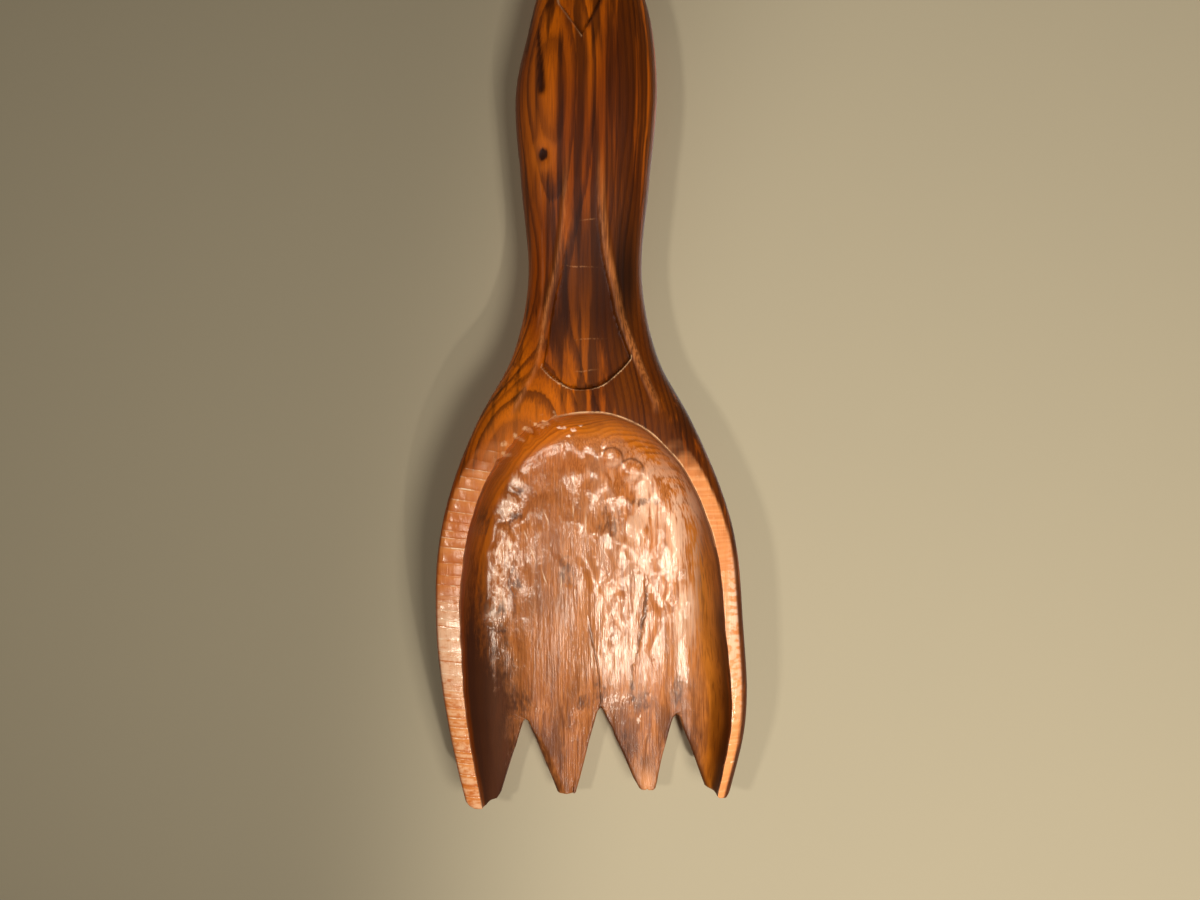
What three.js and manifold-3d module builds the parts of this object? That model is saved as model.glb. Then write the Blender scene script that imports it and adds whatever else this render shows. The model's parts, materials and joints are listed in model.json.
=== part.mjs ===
// A carved wooden wall fork: a scooped head with four tines and a waisted handle with two carved panels,
// cut from one plank. A folded steel strap with a swinging D ring hangs it on a wall hook, and two felt
// discs rest against the wall.
// Millimetres. +X is the viewer's right, +Y points into the wall and +Z is up.
// Heights are measured up from the lowest tine tip, and depths from a plane along the middle of the plank.
// The outer group then puts the origin at the hang point, inside the top of the ring.

import * as THREE from "three";
import { mergeVertices } from "three/addons/utils/BufferGeometryUtils.js";
import Module from "manifold-3d";

const wasm = await Module();
wasm.setup();

// Main lengths of the carved body.
const TINE_LENGTH = 40; // from the tips up to the roots of the tines
const LEAF_ABOVE_NECK = 72; // from the neck up to the widest part of the upper handle
const COLLAR_ABOVE_LEAF = 88; // from there up to the collar under the knob

// Driving dimensions of the carved body, station by station from the tine tips up.
// rise: height above the station before. half: half the width. sway: lean of the middle to the right.
// front: reach in front of the middle plane. widest: depth at which the section is widest.
// square: 2 is an oval front, and more is a squarer one.
const STATIONS = {
  tips: { rise: 0, half: 57.6, sway: 4.5, front: 6, widest: 3, square: 5 },
  roots: { rise: TINE_LENGTH, half: 65, sway: 4.7, front: 17, widest: -5, square: 6 },
  cheeks: { rise: 44, half: 66.2, sway: 1.8, front: 23.5, widest: -11, square: 7 },
  shoulders: { rise: 45, half: 62.2, sway: 0.6, front: 24, widest: -11, square: 6 },
  brow: { rise: 43, half: 46.6, sway: -0.6, front: 22.5, widest: -8, square: 4 },
  throat: { rise: 27, half: 32.6, sway: -0.6, front: 18.5, widest: -3, square: 2.8 },
  waist: { rise: 34, half: 25.3, sway: -0.7, front: 15.5, widest: -1, square: 2.4 },
  palm: { rise: 46, half: 28.6, sway: -0.6, front: 17, widest: 0, square: 2.4 },
  grip: { rise: 39, half: 31.4, sway: 0, front: 18, widest: 0, square: 2.4 },
  hip: { rise: 28, half: 27.4, sway: 1.8, front: 16.5, widest: 0, square: 2.4 },
  neck: { rise: 38, half: 19, sway: 1.4, front: 13, widest: 0, square: 2.4 },
  leaf: { rise: LEAF_ABOVE_NECK, half: 25, sway: 0, front: 16, widest: 0, square: 2.4 },
  collar: { rise: COLLAR_ABOVE_LEAF, half: 15.5, sway: 0, front: 11, widest: 0, square: 2.2 },
  knob: { rise: 38, half: 20, sway: 0, front: 14, widest: 0, square: 2 },
};
const KNOB_RISE = 28; // height of the rounded end above the knob's middle

// The sawn back of the plank: its depth behind the middle plane at the tips, the head and the handle.
const BACK = { tips: 13, head: 21, handle: 12.5 };
const BACK_CROWN = 2.5; // how far the rounded back would stand past the sawn flat
const BACK_SQUARE = 2.6; // roundness of the back, as square is for the front

// The hollow of the head.
const RIM = 9.5; // width of the rim beside the arch of the hollow
const TIP_RIM = 6; // the same at the tips
const HOLLOW_SHIFT = 1; // the hollow lies this far to the right, so the left rim is the wider one
const HOLLOW_ABOVE_BROW = 3.5; // top edge of the hollow above the brow station
const ARCH_RISE = 92; // height of the hollow's arched end
const ARCH_POWER = 2.2; // 2 is an elliptic arch
const FLOOR_DEPTH = 9; // depth of the floor behind the middle plane
const TIP_FLOOR_DEPTH = 7; // the same at the tips
const WALL_RUN = 24; // distance from the edge over which the wall turns into the floor
const WALL_POWER = 2.4; // 2 is an elliptic wall, and more is a steeper one

// The tines, from left to right: middle and width of each blunt tip, and its height.
const TINES = [
  { middle: -45, width: 9, tip: 0 },
  { middle: -9, width: 8, tip: 3.5 },
  { middle: 27.4, width: 7, tip: 5.5 },
  { middle: 59, width: 9, tip: 5 },
];
const TIP_CORNER = 9; // cut across the outer corner of the two outer tips
// The gaps between them: middle, height of the top and width of its rounded crown.
const GAPS = [
  { middle: -27.6, top: 37.5, crown: 4 },
  { middle: 6.3, top: 43, crown: 4 },
  { middle: 40.6, top: 39.5, crown: 5 },
];

// The tongue panel on the lower handle, deepest at its foot and running out at the top.
const TONGUE = { aboveBrow: 21, footHalf: 18.8, sag: 7.3, length: 82, topHalf: 8.5, depth: 2.2, runOut: 0.6 };
// The leaf panel on the upper handle, from a point below the neck up to a point below the collar.
const LEAF = { aboveGrip: 20, half: 15.5, shift: -2.5, belowCollar: 14, depth: 1.8 };

// The hanger on the back of the handle.
const PIVOT_ABOVE_LEAF = 60; // height of the ring's pivot above the leaf station
const WIRE = 3; // diameter of the ring's wire
const RING_HALF = 9; // half the ring's width, at the middle of the wire
const RING_REACH = 18; // from the pivot to the crown of the ring, at the middle of the wire
const RING_BEND = 3; // radius of the two lower bends
const RING_SPLIT = 0.4; // gap between the wire's ends, inside the fold
const STRAP_WIDTH = 11;
const STRAP_LENGTH = 34; // from the pivot down
const SHEET = 1.2; // thickness of the strap's steel
const LEAF_STEP = 2; // the rear leaf of the folded strap is shorter by this
const SCREW_BELOW_PIVOT = 10.5; // the upper screw
const SCREW_ABOVE_END = 7.5; // the lower screw, from the end of the strap
const SCREW_DROPS = { upper: SCREW_BELOW_PIVOT, lower: STRAP_LENGTH - SCREW_ABOVE_END }; // below the pivot
const SCREW_LENGTH = 16; // under the head
const SCREW_POINT = 4; // length of the tapered point
const SHANK = 3.5; // diameter of the shank
const SCREW_HEAD = 7; // diameter of the head
const HEAD_RISE = 2;
const SLOT_WIDTH = 1;
const SLOT_DEPTH = 0.9;

// The felt discs on the back of the head.
const BUMPER_SPREAD = 42; // between the middles of the two discs
const BUMPER_DIAMETER = 18;
const BUMPER_THICKNESS = 3;
const BUMPER_EDGE = 0.8; // rounding of the outer edge

// Clearances.
const SEAT_GAP = 0.3; // between a piece and the face it is fixed to
const PIVOT_CLEARANCE = 0.3; // round the wire in the fold
const HOLE_CLEARANCE = 0.3; // round a screw's shank
const FOLD_GAP = 0.25; // between the two leaves of the strap

// Fineness of the faceted surfaces, and how far a cutter reaches past what it cuts.
const RING_POINTS = 44;
const RING_STEP = 10;
const DOME_STEPS = 6;
const HOLLOW_COLUMNS = 22;
const HOLLOW_ROWS = 26;
const ROUND = 20;
const PAST = 12;

// Solids and geometry

function toSolid(geometry) {
  geometry.deleteAttribute("normal");
  geometry.deleteAttribute("uv");
  const merged = mergeVertices(geometry, 1e-4);
  return new wasm.Manifold(
    new wasm.Mesh({
      numProp: 3,
      vertProperties: new Float32Array(merged.attributes.position.array),
      triVerts: new Uint32Array(merged.index.array),
    }),
  );
}

function toGeometry(solid) {
  const mesh = solid.getMesh();
  const geometry = new THREE.BufferGeometry();
  geometry.setAttribute("position", new THREE.BufferAttribute(mesh.vertProperties, 3));
  geometry.setIndex(new THREE.BufferAttribute(mesh.triVerts, 1));
  geometry.computeVertexNormals();
  return geometry;
}

// A closed skin over rings of points that turn anticlockwise seen from above, from the lowest ring up.
function loft(rings) {
  const count = rings[0].length;
  const points = rings.flat();
  const triangles = [];
  for (let i = 0; i + 1 < rings.length; i += 1) {
    for (let j = 0; j < count; j += 1) {
      const a = i * count + j;
      const b = i * count + ((j + 1) % count);
      triangles.push(a, b, b + count, a, b + count, a + count);
    }
  }
  const last = (rings.length - 1) * count;
  for (let j = 0; j < count; j += 1) {
    const next = (j + 1) % count;
    triangles.push(points.length, next, j);
    triangles.push(points.length + 1, last + j, last + next);
  }
  for (const ring of [rings[0], rings[rings.length - 1]]) {
    const middle = new THREE.Vector3();
    ring.forEach((point) => middle.add(point));
    points.push(middle.divideScalar(count));
  }
  const geometry = new THREE.BufferGeometry().setFromPoints(points);
  geometry.setIndex(triangles);
  return geometry;
}

// A front outline, drawn in X and height, as a bar that runs from one depth to another.
function frontPrism(shape, fromDepth, toDepth) {
  const geometry = new THREE.ExtrudeGeometry(shape, {
    depth: toDepth - fromDepth,
    bevelEnabled: false,
    curveSegments: 14,
  });
  return geometry.rotateX(Math.PI / 2).translate(0, toDepth, 0);
}

// The same for a side outline, drawn in depth and height, across the given width.
function sidePrism(shape, width) {
  const geometry = new THREE.ExtrudeGeometry(shape, { depth: width, bevelEnabled: false, curveSegments: 14 });
  const turn = new THREE.Matrix4().makeBasis(
    new THREE.Vector3(0, 1, 0),
    new THREE.Vector3(0, 0, 1),
    new THREE.Vector3(1, 0, 0),
  );
  return geometry.applyMatrix4(turn).translate(-width / 2, 0, 0);
}

// The carved body

const stations = Object.values(STATIONS);
let height = 0;
for (const station of stations) {
  height += station.rise;
  station.height = height;
}
const { tips, roots, cheeks, shoulders, brow, waist, grip, leaf, collar, knob } = STATIONS;
const bodyHeight = knob.height + KNOB_RISE;

const SECTION = ["half", "sway", "front", "widest", "square"];
const sections = new THREE.CubicInterpolant(
  new Float32Array(stations.map((station) => station.height)),
  new Float32Array(stations.flatMap((station) => SECTION.map((key) => station[key]))),
  SECTION.length,
);

function sectionAt(z) {
  const values = sections.evaluate(THREE.MathUtils.clamp(z, tips.height, knob.height));
  return Object.fromEntries(SECTION.map((key, i) => [key, values[i]]));
}

// The sawn back as straight runs in height and depth.
const backLine = [
  [tips.height, BACK.tips],
  [roots.height, BACK.head],
  [shoulders.height, BACK.head],
  [waist.height, BACK.handle],
  [bodyHeight, BACK.handle],
];

function backAt(z) {
  const above = backLine.findIndex(([at]) => at >= z);
  if (above <= 0) return above === 0 ? BACK.tips : BACK.handle;
  const [z0, y0] = backLine[above - 1];
  const [z1, y1] = backLine[above];
  return THREE.MathUtils.mapLinear(z, z0, z1, y0, y1);
}

const power = (value, exponent) => Math.sign(value) * Math.abs(value) ** exponent;

// One ring of the body. inset pulls its front back, and dome shrinks it towards the rounded end.
function bodyRing(z, inset, dome) {
  const { half, sway, front, widest, square } = sectionAt(z);
  const ring = [];
  for (let j = 0; j < RING_POINTS; j += 1) {
    const angle = (2 * Math.PI * j) / RING_POINTS;
    const behind = Math.sin(angle) > 0;
    const roundness = 2 / (behind ? BACK_SQUARE : square);
    const reach = behind ? backAt(z) + BACK_CROWN - widest : front - inset + widest;
    const x = sway + half * dome * power(Math.cos(angle), roundness);
    const y = widest + reach * dome * power(Math.sin(angle), roundness);
    ring.push(new THREE.Vector3(x, y, z));
  }
  return ring;
}

function bodyLoft(insetAt) {
  const heights = [tips.height - PAST];
  for (const station of stations.slice(1)) {
    const steps = Math.ceil(station.rise / RING_STEP);
    for (let i = 0; i < steps; i += 1) heights.push(station.height - station.rise * (1 - i / steps));
  }
  const rings = heights.map((z) => bodyRing(z, insetAt(z), 1));
  for (let i = 0; i < DOME_STEPS; i += 1) {
    const angle = ((Math.PI / 2) * i) / (DOME_STEPS - 0.5);
    const z = knob.height + KNOB_RISE * Math.sin(angle);
    rings.push(bodyRing(z, insetAt(z), Math.cos(angle)));
  }
  return toSolid(loft(rings));
}

function behindTheBack() {
  const shape = new THREE.Shape();
  const far = BACK.head + BACK_CROWN + PAST;
  shape.moveTo(BACK.tips, tips.height - 2 * PAST);
  for (const [z, y] of backLine) shape.lineTo(y, z);
  shape.lineTo(BACK.handle, bodyHeight + PAST);
  shape.lineTo(far, bodyHeight + PAST);
  shape.lineTo(far, tips.height - 2 * PAST);
  return toSolid(sidePrism(shape, 4 * cheeks.half));
}

// The hollow: a scoop with an arched upper end that runs out between the tines.
const hollowTop = brow.height + HOLLOW_ABOVE_BROW;
const archFoot = hollowTop - ARCH_RISE;

function hollowHalf(z) {
  const below = THREE.MathUtils.clamp(z, tips.height, archFoot);
  const rim = THREE.MathUtils.mapLinear(below, tips.height, archFoot, TIP_RIM, RIM);
  const half = sectionAt(below).half - rim;
  const share = Math.max(0, (z - archFoot) / ARCH_RISE);
  return half * (1 - share ** ARCH_POWER) ** (1 / ARCH_POWER);
}

const hollowMiddle = (z) => sectionAt(z).sway + HOLLOW_SHIFT;

// Distance from the edge of the hollow: straight across beside the tines, and out from the middle of the arch above.
function insideEdge(x, z) {
  const half = hollowHalf(Math.min(z, archFoot));
  const up = Math.max(0, z - archFoot);
  const out = Math.abs(x - hollowMiddle(z));
  const share = ((out / half) ** ARCH_POWER + (up / ARCH_RISE) ** ARCH_POWER) ** (1 / ARCH_POWER);
  return share < 1e-6 ? WALL_RUN : Math.hypot(out, up) * (1 / share - 1);
}

function hollowDepth(x, z) {
  const edge = -sectionAt(z).front;
  const level = THREE.MathUtils.clamp(z / roots.height, 0, 1);
  const floor = THREE.MathUtils.lerp(TIP_FLOOR_DEPTH, FLOOR_DEPTH, level);
  const run = THREE.MathUtils.clamp(insideEdge(x, z) / WALL_RUN, 0, 1);
  return edge + (floor - edge) * (1 - (1 - run) ** WALL_POWER) ** (1 / WALL_POWER);
}

function hollowCutter() {
  const ahead = -(shoulders.front + PAST);
  const lowest = tips.height - PAST;
  const rings = [];
  for (let i = 0; i < HOLLOW_ROWS; i += 1) {
    const share = Math.sin(((Math.PI / 2) * (i + 0.2)) / HOLLOW_ROWS);
    const z = lowest + (hollowTop - lowest) * share;
    const middle = hollowMiddle(z);
    const half = hollowHalf(z);
    const ring = [];
    for (let j = 0; j <= HOLLOW_COLUMNS; j += 1) {
      const x = middle + half * Math.cos((Math.PI * j) / HOLLOW_COLUMNS);
      ring.push(new THREE.Vector3(x, hollowDepth(x, z), z));
    }
    ring.push(new THREE.Vector3(middle - half, ahead, z), new THREE.Vector3(middle + half, ahead, z));
    rings.push(ring);
  }
  return toSolid(loft(rings));
}

// Everything below the tips and in the gaps between the tines.
function tineCutter() {
  const below = tips.height - 2 * PAST;
  const outside = cheeks.half + 2 * PAST;
  const [first] = TINES;
  const last = TINES[TINES.length - 1];
  const shape = new THREE.Shape();
  shape.moveTo(-outside, below);
  shape.lineTo(-outside, first.tip + TIP_CORNER);
  shape.lineTo(first.middle - first.width / 2 - TIP_CORNER, first.tip + TIP_CORNER);
  TINES.forEach((tine, i) => {
    shape.lineTo(tine.middle - tine.width / 2, tine.tip);
    shape.lineTo(tine.middle + tine.width / 2, tine.tip);
    const gap = GAPS[i];
    if (!gap) return;
    shape.lineTo(gap.middle - gap.crown / 2, gap.top - gap.crown);
    shape.quadraticCurveTo(gap.middle, gap.top + gap.crown, gap.middle + gap.crown / 2, gap.top - gap.crown);
  });
  shape.lineTo(last.middle + last.width / 2 + TIP_CORNER, last.tip + TIP_CORNER);
  shape.lineTo(outside, last.tip + TIP_CORNER);
  shape.lineTo(outside, below);
  return toSolid(frontPrism(shape, -(shoulders.front + PAST), BACK.head + PAST));
}

// A carved panel: the front skin under an outline, down to a floor that follows the front.
function panelCutter(shape, insetAt) {
  const prism = toSolid(frontPrism(shape, -(shoulders.front + PAST), 0));
  return prism.subtract(bodyLoft(insetAt));
}

function tongueCutter() {
  const foot = brow.height + TONGUE.aboveBrow;
  const top = foot + TONGUE.length;
  const { footHalf, topHalf, sag, depth, runOut } = TONGUE;
  const middle = sectionAt(foot).sway;
  const bend = foot + TONGUE.length / 2;
  const shape = new THREE.Shape();
  shape.moveTo(middle - footHalf, foot);
  shape.quadraticCurveTo(middle, foot - 2 * sag, middle + footHalf, foot);
  shape.bezierCurveTo(middle + footHalf, bend, middle + topHalf, bend, middle + topHalf, top);
  shape.quadraticCurveTo(middle, top + 2 * topHalf, middle - topHalf, top);
  shape.bezierCurveTo(middle - topHalf, bend, middle - footHalf, bend, middle - footHalf, foot);
  return panelCutter(shape, (z) => depth - ((depth + runOut) * (z - foot)) / TONGUE.length);
}

function leafCutter() {
  const bottom = grip.height + LEAF.aboveGrip;
  const top = collar.height - LEAF.belowCollar;
  const widest = leaf.height;
  const spread = (3 * bottom + widest) / 4;
  const shape = new THREE.Shape();
  shape.moveTo(LEAF.shift, bottom);
  shape.bezierCurveTo(LEAF.half, spread, LEAF.half, widest, LEAF.half, widest);
  shape.quadraticCurveTo(LEAF.half, (widest + top) / 2, 0, top);
  shape.quadraticCurveTo(-LEAF.half, (widest + top) / 2, -LEAF.half, widest);
  shape.bezierCurveTo(-LEAF.half, widest, -LEAF.half, spread, LEAF.shift, bottom);
  return panelCutter(shape, () => LEAF.depth);
}

// The hanger and what it sets

const boreRadius = WIRE / 2 + PIVOT_CLEARANCE;
const pivotBehindFlat = SEAT_GAP + SHEET + boreRadius;
const pivot = new THREE.Vector3(0, BACK.handle + pivotBehindFlat, leaf.height + PIVOT_ABOVE_LEAF);
const strapRear = pivot.y - boreRadius + SHEET + FOLD_GAP;
const headSeat = strapRear + SEAT_GAP;
const ringLean = Math.asin((pivotBehindFlat - WIRE / 2 - SEAT_GAP) / RING_REACH);
const ringInside = RING_REACH - WIRE / 2;
const hangPoint = new THREE.Vector3(
  0,
  pivot.y - ringInside * Math.sin(ringLean),
  pivot.z + ringInside * Math.cos(ringLean),
);

// A round bar along Y, from one depth to another.
function crossBar(diameter, fromDepth, toDepth, z) {
  const geometry = new THREE.CylinderGeometry(diameter / 2, diameter / 2, toDepth - fromDepth, ROUND);
  return geometry.translate(0, (fromDepth + toDepth) / 2, z);
}

function pilotHole(drop) {
  const deepest = headSeat - SCREW_LENGTH - SEAT_GAP;
  return toSolid(crossBar(SHANK + 2 * HOLE_CLEARANCE, deepest, pivot.y + PAST, pivot.z - drop));
}

function forkBody() {
  let body = bodyLoft(() => 0);
  const cutters = [behindTheBack(), hollowCutter(), tineCutter(), tongueCutter(), leafCutter()];
  for (const drop of Object.values(SCREW_DROPS)) cutters.push(pilotHole(drop));
  for (const cutter of cutters) body = body.subtract(cutter);
  return toGeometry(body);
}

// The folded strap: a front leaf on the wood, a fold round the wire and a rear leaf on the front one.
function hangerStrap() {
  const fold = boreRadius + SHEET / 2;
  const rear = SHEET + FOLD_GAP - fold;
  const turn = Math.PI / 4;
  const [side, drop] = [fold * Math.cos(turn), -fold * Math.sin(turn)];
  const pinch = drop - (side - rear);
  const line = new THREE.Path();
  line.moveTo(-fold, -STRAP_LENGTH);
  line.lineTo(-fold, 0);
  line.absarc(0, 0, fold, Math.PI, -turn, true);
  line.quadraticCurveTo(rear, pinch, rear, pinch - fold);
  line.lineTo(rear, LEAF_STEP - STRAP_LENGTH);
  const points = line.getPoints(10);
  const sides = points.map((point, i) => {
    const before = points[Math.max(i - 1, 0)];
    const after = points[Math.min(i + 1, points.length - 1)];
    const along = after.clone().sub(before).normalize();
    return new THREE.Vector2(-along.y, along.x).multiplyScalar(SHEET / 2);
  });
  const left = points.map((point, i) => point.clone().add(sides[i]));
  const right = points.map((point, i) => point.clone().sub(sides[i]));
  const shape = new THREE.Shape([...left, ...right.reverse()]);
  let strap = toSolid(sidePrism(shape, STRAP_WIDTH).translate(0, pivot.y, pivot.z));
  for (const down of Object.values(SCREW_DROPS)) {
    const hole = crossBar(SHANK + 2 * HOLE_CLEARANCE, BACK.handle, pivot.y + PAST, pivot.z - down);
    strap = strap.subtract(toSolid(hole));
  }
  return toGeometry(strap);
}

// The D ring: one bent wire whose ends meet in the fold. It is drawn about its pivot, standing up.
function hangerRing() {
  const upright = RING_REACH - RING_HALF;
  const path = new THREE.CurvePath();
  const point = (x, z) => new THREE.Vector3(x, 0, z);
  const arc = (x, z, radius, from, to) => {
    const flat = new THREE.EllipseCurve(x, z, radius, radius, from, to, to < from);
    const [start, middle, end] = [flat.getPoint(0), flat.getPoint(0.5), flat.getPoint(1)];
    const control = middle.multiplyScalar(2).sub(start.clone().add(end).multiplyScalar(0.5));
    const lift = (flatPoint) => point(flatPoint.x, flatPoint.y);
    return new THREE.QuadraticBezierCurve3(lift(start), lift(control), lift(end));
  };
  const bend = RING_HALF - RING_BEND;
  path.add(new THREE.LineCurve3(point(RING_SPLIT / 2, 0), point(bend, 0)));
  path.add(arc(bend, RING_BEND, RING_BEND, -Math.PI / 2, 0));
  path.add(new THREE.LineCurve3(point(RING_HALF, RING_BEND), point(RING_HALF, upright)));
  for (let i = 0; i < 4; i += 1) {
    path.add(arc(0, upright, RING_HALF, (Math.PI * i) / 4, (Math.PI * (i + 1)) / 4));
  }
  path.add(new THREE.LineCurve3(point(-RING_HALF, upright), point(-RING_HALF, RING_BEND)));
  path.add(arc(-bend, RING_BEND, RING_BEND, Math.PI, 1.5 * Math.PI));
  path.add(new THREE.LineCurve3(point(-bend, 0), point(-RING_SPLIT / 2, 0)));
  const wire = new THREE.Shape().absarc(0, 0, WIRE / 2, 0, 2 * Math.PI);
  return new THREE.ExtrudeGeometry(wire, {
    extrudePath: path,
    steps: 40,
    curveSegments: 6,
    bevelEnabled: false,
  });
}

// A slotted round-head wood screw that points at the viewer, with the seat of its head at the origin.
function hangerScrew() {
  const radius = SHANK / 2;
  const profile = new THREE.Path();
  profile.moveTo(0, -SCREW_LENGTH);
  profile.lineTo(radius, SCREW_POINT - SCREW_LENGTH);
  profile.lineTo(radius, 0);
  profile.lineTo(SCREW_HEAD / 2, 0);
  profile.lineTo(SCREW_HEAD / 2, HEAD_RISE / 3);
  profile.quadraticCurveTo(SCREW_HEAD / 2, HEAD_RISE, 0, HEAD_RISE);
  const screw = toSolid(new THREE.LatheGeometry(profile.getPoints(4), ROUND));
  const slot = new THREE.BoxGeometry(SCREW_HEAD + SLOT_WIDTH, 2 * SLOT_DEPTH, SLOT_WIDTH);
  return toGeometry(screw.subtract(toSolid(slot.translate(0, HEAD_RISE, 0))));
}

// A felt disc with a rounded outer edge, its glued face at the origin.
function bumper() {
  const radius = BUMPER_DIAMETER / 2;
  const profile = new THREE.Path();
  profile.moveTo(0, 0);
  profile.lineTo(radius, 0);
  profile.lineTo(radius, BUMPER_THICKNESS - BUMPER_EDGE);
  profile.quadraticCurveTo(radius, BUMPER_THICKNESS, radius - BUMPER_EDGE, BUMPER_THICKNESS);
  profile.lineTo(0, BUMPER_THICKNESS);
  return new THREE.LatheGeometry(profile.getPoints(3), ROUND);
}

// Assembly

const wood = new THREE.MeshStandardMaterial({ color: 0x8f4e1c, roughness: 0.35, metalness: 0 });
const steel = new THREE.MeshStandardMaterial({ color: 0xb9b2a0, roughness: 0.4, metalness: 1 });
const felt = new THREE.MeshStandardMaterial({ color: 0x4a3a2c, roughness: 0.95, metalness: 0 });

function named(name, geometry, material) {
  const mesh = new THREE.Mesh(geometry, material);
  mesh.name = name;
  return mesh;
}

const fork = new THREE.Group();
fork.position.copy(hangPoint).negate();
fork.add(named("fork_body", forkBody(), wood));
fork.add(named("hanger_strap", hangerStrap(), steel));

for (const [place, drop] of Object.entries(SCREW_DROPS)) {
  const screw = named(`hanger_screw_${place}`, hangerScrew(), steel);
  screw.position.set(0, headSeat, pivot.z - drop);
  fork.add(screw);
}

const ring = new THREE.Group();
ring.position.copy(pivot);
ring.rotation.x = ringLean;
ring.add(named("hanger_ring", hangerRing(), steel));
fork.add(ring);

for (const [side, sign] of [["left", -1], ["right", 1]]) {
  const disc = named(`bumper_${side}`, bumper(), felt);
  disc.position.set(cheeks.sway + (sign * BUMPER_SPREAD) / 2, BACK.head + SEAT_GAP, cheeks.height);
  fork.add(disc);
}

export default fork;
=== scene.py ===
"""Dresses a carved wooden wall fork: the tool-marked body, the hanger behind it and its two felt discs."""

import json
import math
from collections import namedtuple

import bmesh
import bpy
import numpy as np
from mathutils import Matrix, Vector


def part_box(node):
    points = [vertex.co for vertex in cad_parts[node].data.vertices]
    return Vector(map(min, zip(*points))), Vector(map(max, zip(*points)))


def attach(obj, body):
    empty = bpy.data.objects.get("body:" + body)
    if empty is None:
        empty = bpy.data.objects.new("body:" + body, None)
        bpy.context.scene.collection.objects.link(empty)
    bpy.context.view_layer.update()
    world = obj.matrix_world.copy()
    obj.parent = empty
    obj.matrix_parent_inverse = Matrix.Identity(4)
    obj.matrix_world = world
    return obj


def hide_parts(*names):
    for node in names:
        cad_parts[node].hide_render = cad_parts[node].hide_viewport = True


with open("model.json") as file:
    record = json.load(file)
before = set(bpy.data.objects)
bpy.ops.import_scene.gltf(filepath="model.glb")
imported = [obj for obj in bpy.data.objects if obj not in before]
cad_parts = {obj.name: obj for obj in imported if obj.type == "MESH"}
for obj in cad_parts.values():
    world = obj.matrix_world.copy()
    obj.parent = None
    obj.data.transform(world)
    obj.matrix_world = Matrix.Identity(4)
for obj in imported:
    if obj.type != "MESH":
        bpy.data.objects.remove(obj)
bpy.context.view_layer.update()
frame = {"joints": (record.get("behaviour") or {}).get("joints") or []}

MM = 0.001
MERGE = 1e-6  # points this close, in metres, are one

# The carved body, in millimetres. X is to the right, depths go into the wall from the middle of the plank,
# and heights go up from the lowest tine tip.
# half: half the width. sway: lean of the middle to the right. front: reach in front of the middle of the plank.
# widest: depth at which the section is widest. square: 2 is an oval front, and more is a squarer one.
Station = namedtuple("Station", "height half sway front widest square")
STATIONS = (
    Station(0, 57.6, 4.5, 6, 3, 5),  # tips
    Station(40, 65, 4.7, 17, -5, 6),  # roots of the tines
    Station(84, 66.2, 1.8, 23.5, -11, 7),  # cheeks
    Station(129, 62.2, 0.6, 24, -11, 6),  # shoulders
    Station(172, 46.6, -0.6, 22.5, -8, 4),  # brow
    Station(199, 32.6, -0.6, 18.5, -3, 2.8),  # throat
    Station(233, 25.3, -0.7, 15.5, -1, 2.4),  # waist
    Station(279, 28.6, -0.6, 17, 0, 2.4),  # palm
    Station(318, 31.4, 0, 18, 0, 2.4),  # grip
    Station(346, 27.4, 1.8, 16.5, 0, 2.4),  # hip
    Station(384, 19, 1.4, 13, 0, 2.4),  # neck
    Station(456, 25, 0, 16, 0, 2.4),  # leaf
    Station(544, 15.5, 0, 11, 0, 2.2),  # collar
    Station(582, 20, 0, 14, 0, 2),  # knob
)
KNOB_RISE = 28  # the rounded end above the knob
HEAD_LEAN = 0.3  # in the head, the left edge is this much squarer and the right edge this much rounder
LEAN_FADE = (140, 190)  # heights over which that ends

TIP_BACK, HEAD_BACK, HANDLE_BACK = 13, 21, 12.5  # depth of the sawn back
BACK_LINE = ((0, TIP_BACK), (40, HEAD_BACK), (129, HEAD_BACK), (233, HANDLE_BACK), (610, HANDLE_BACK))
BACK_CROWN = 2.5  # how far the rounded back would stand past the sawn flat
BACK_SQUARE = 2.6
SEAT_GAP = 0.3  # between a fixed piece and the wood

# The hollow of the head. A span is where something starts, is full, fades and is gone.
RIM, TIP_RIM = 9.5, 6  # width of the rim beside the arch and at the tips
RIM_TILT = 0.24  # slope of the left rim towards the hollow
TILT_ACROSS, TILT_UP = (-30, 0), (120, 158)  # where it ends
LEFT_FLAT, RIGHT_FLAT = 10.5, 6.6  # width of the planed flat along each rim
LEFT_FLAT_END, RIGHT_FLAT_END = (0.975, 0.995), (0.945, 0.968)  # shares across the head over which it stops
FLAT_TOP = (146, 163)  # heights over which it runs out
HOLLOW_SHIFT = 1
ARCH_TOP, ARCH_RISE, ARCH_POWER = 175.5, 92, 2.2
FLOOR_DEPTH, TIP_FLOOR_DEPTH = 9, 7
LEFT_WALL, RIGHT_WALL = (15, 2.3), (19, 2)  # run of the hollow's wall, and how squarely it meets the floor
WALL_CHANGE = (-22, 8)  # places across between which the one turns into the other
CROWN, CROWN_MIDDLE, CROWN_HALF = 3.2, -1, 40  # swelling of the floor, highest along the middle
CROWN_SPAN = (20, 60, 118, 160)
FURROW, FURROW_WIDTH, FURROW_LEAN = 1.1, 5.5, 0.04  # crests that run up from the gaps, on the floor
FURROW_FADE = (60, 135)
CHIPPED, CHIPPED_FROM = (8, 16, 36, 44), (143, 160)  # span to the left, and heights, of the chipped edge
CHIP_REACH = (3, 8)
DISHES = ((11.4, 155.8, 5), (20.2, 150, 5.6))  # round gouge cuts: place, height and radius
DISH_DEPTH = 1.4
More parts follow.
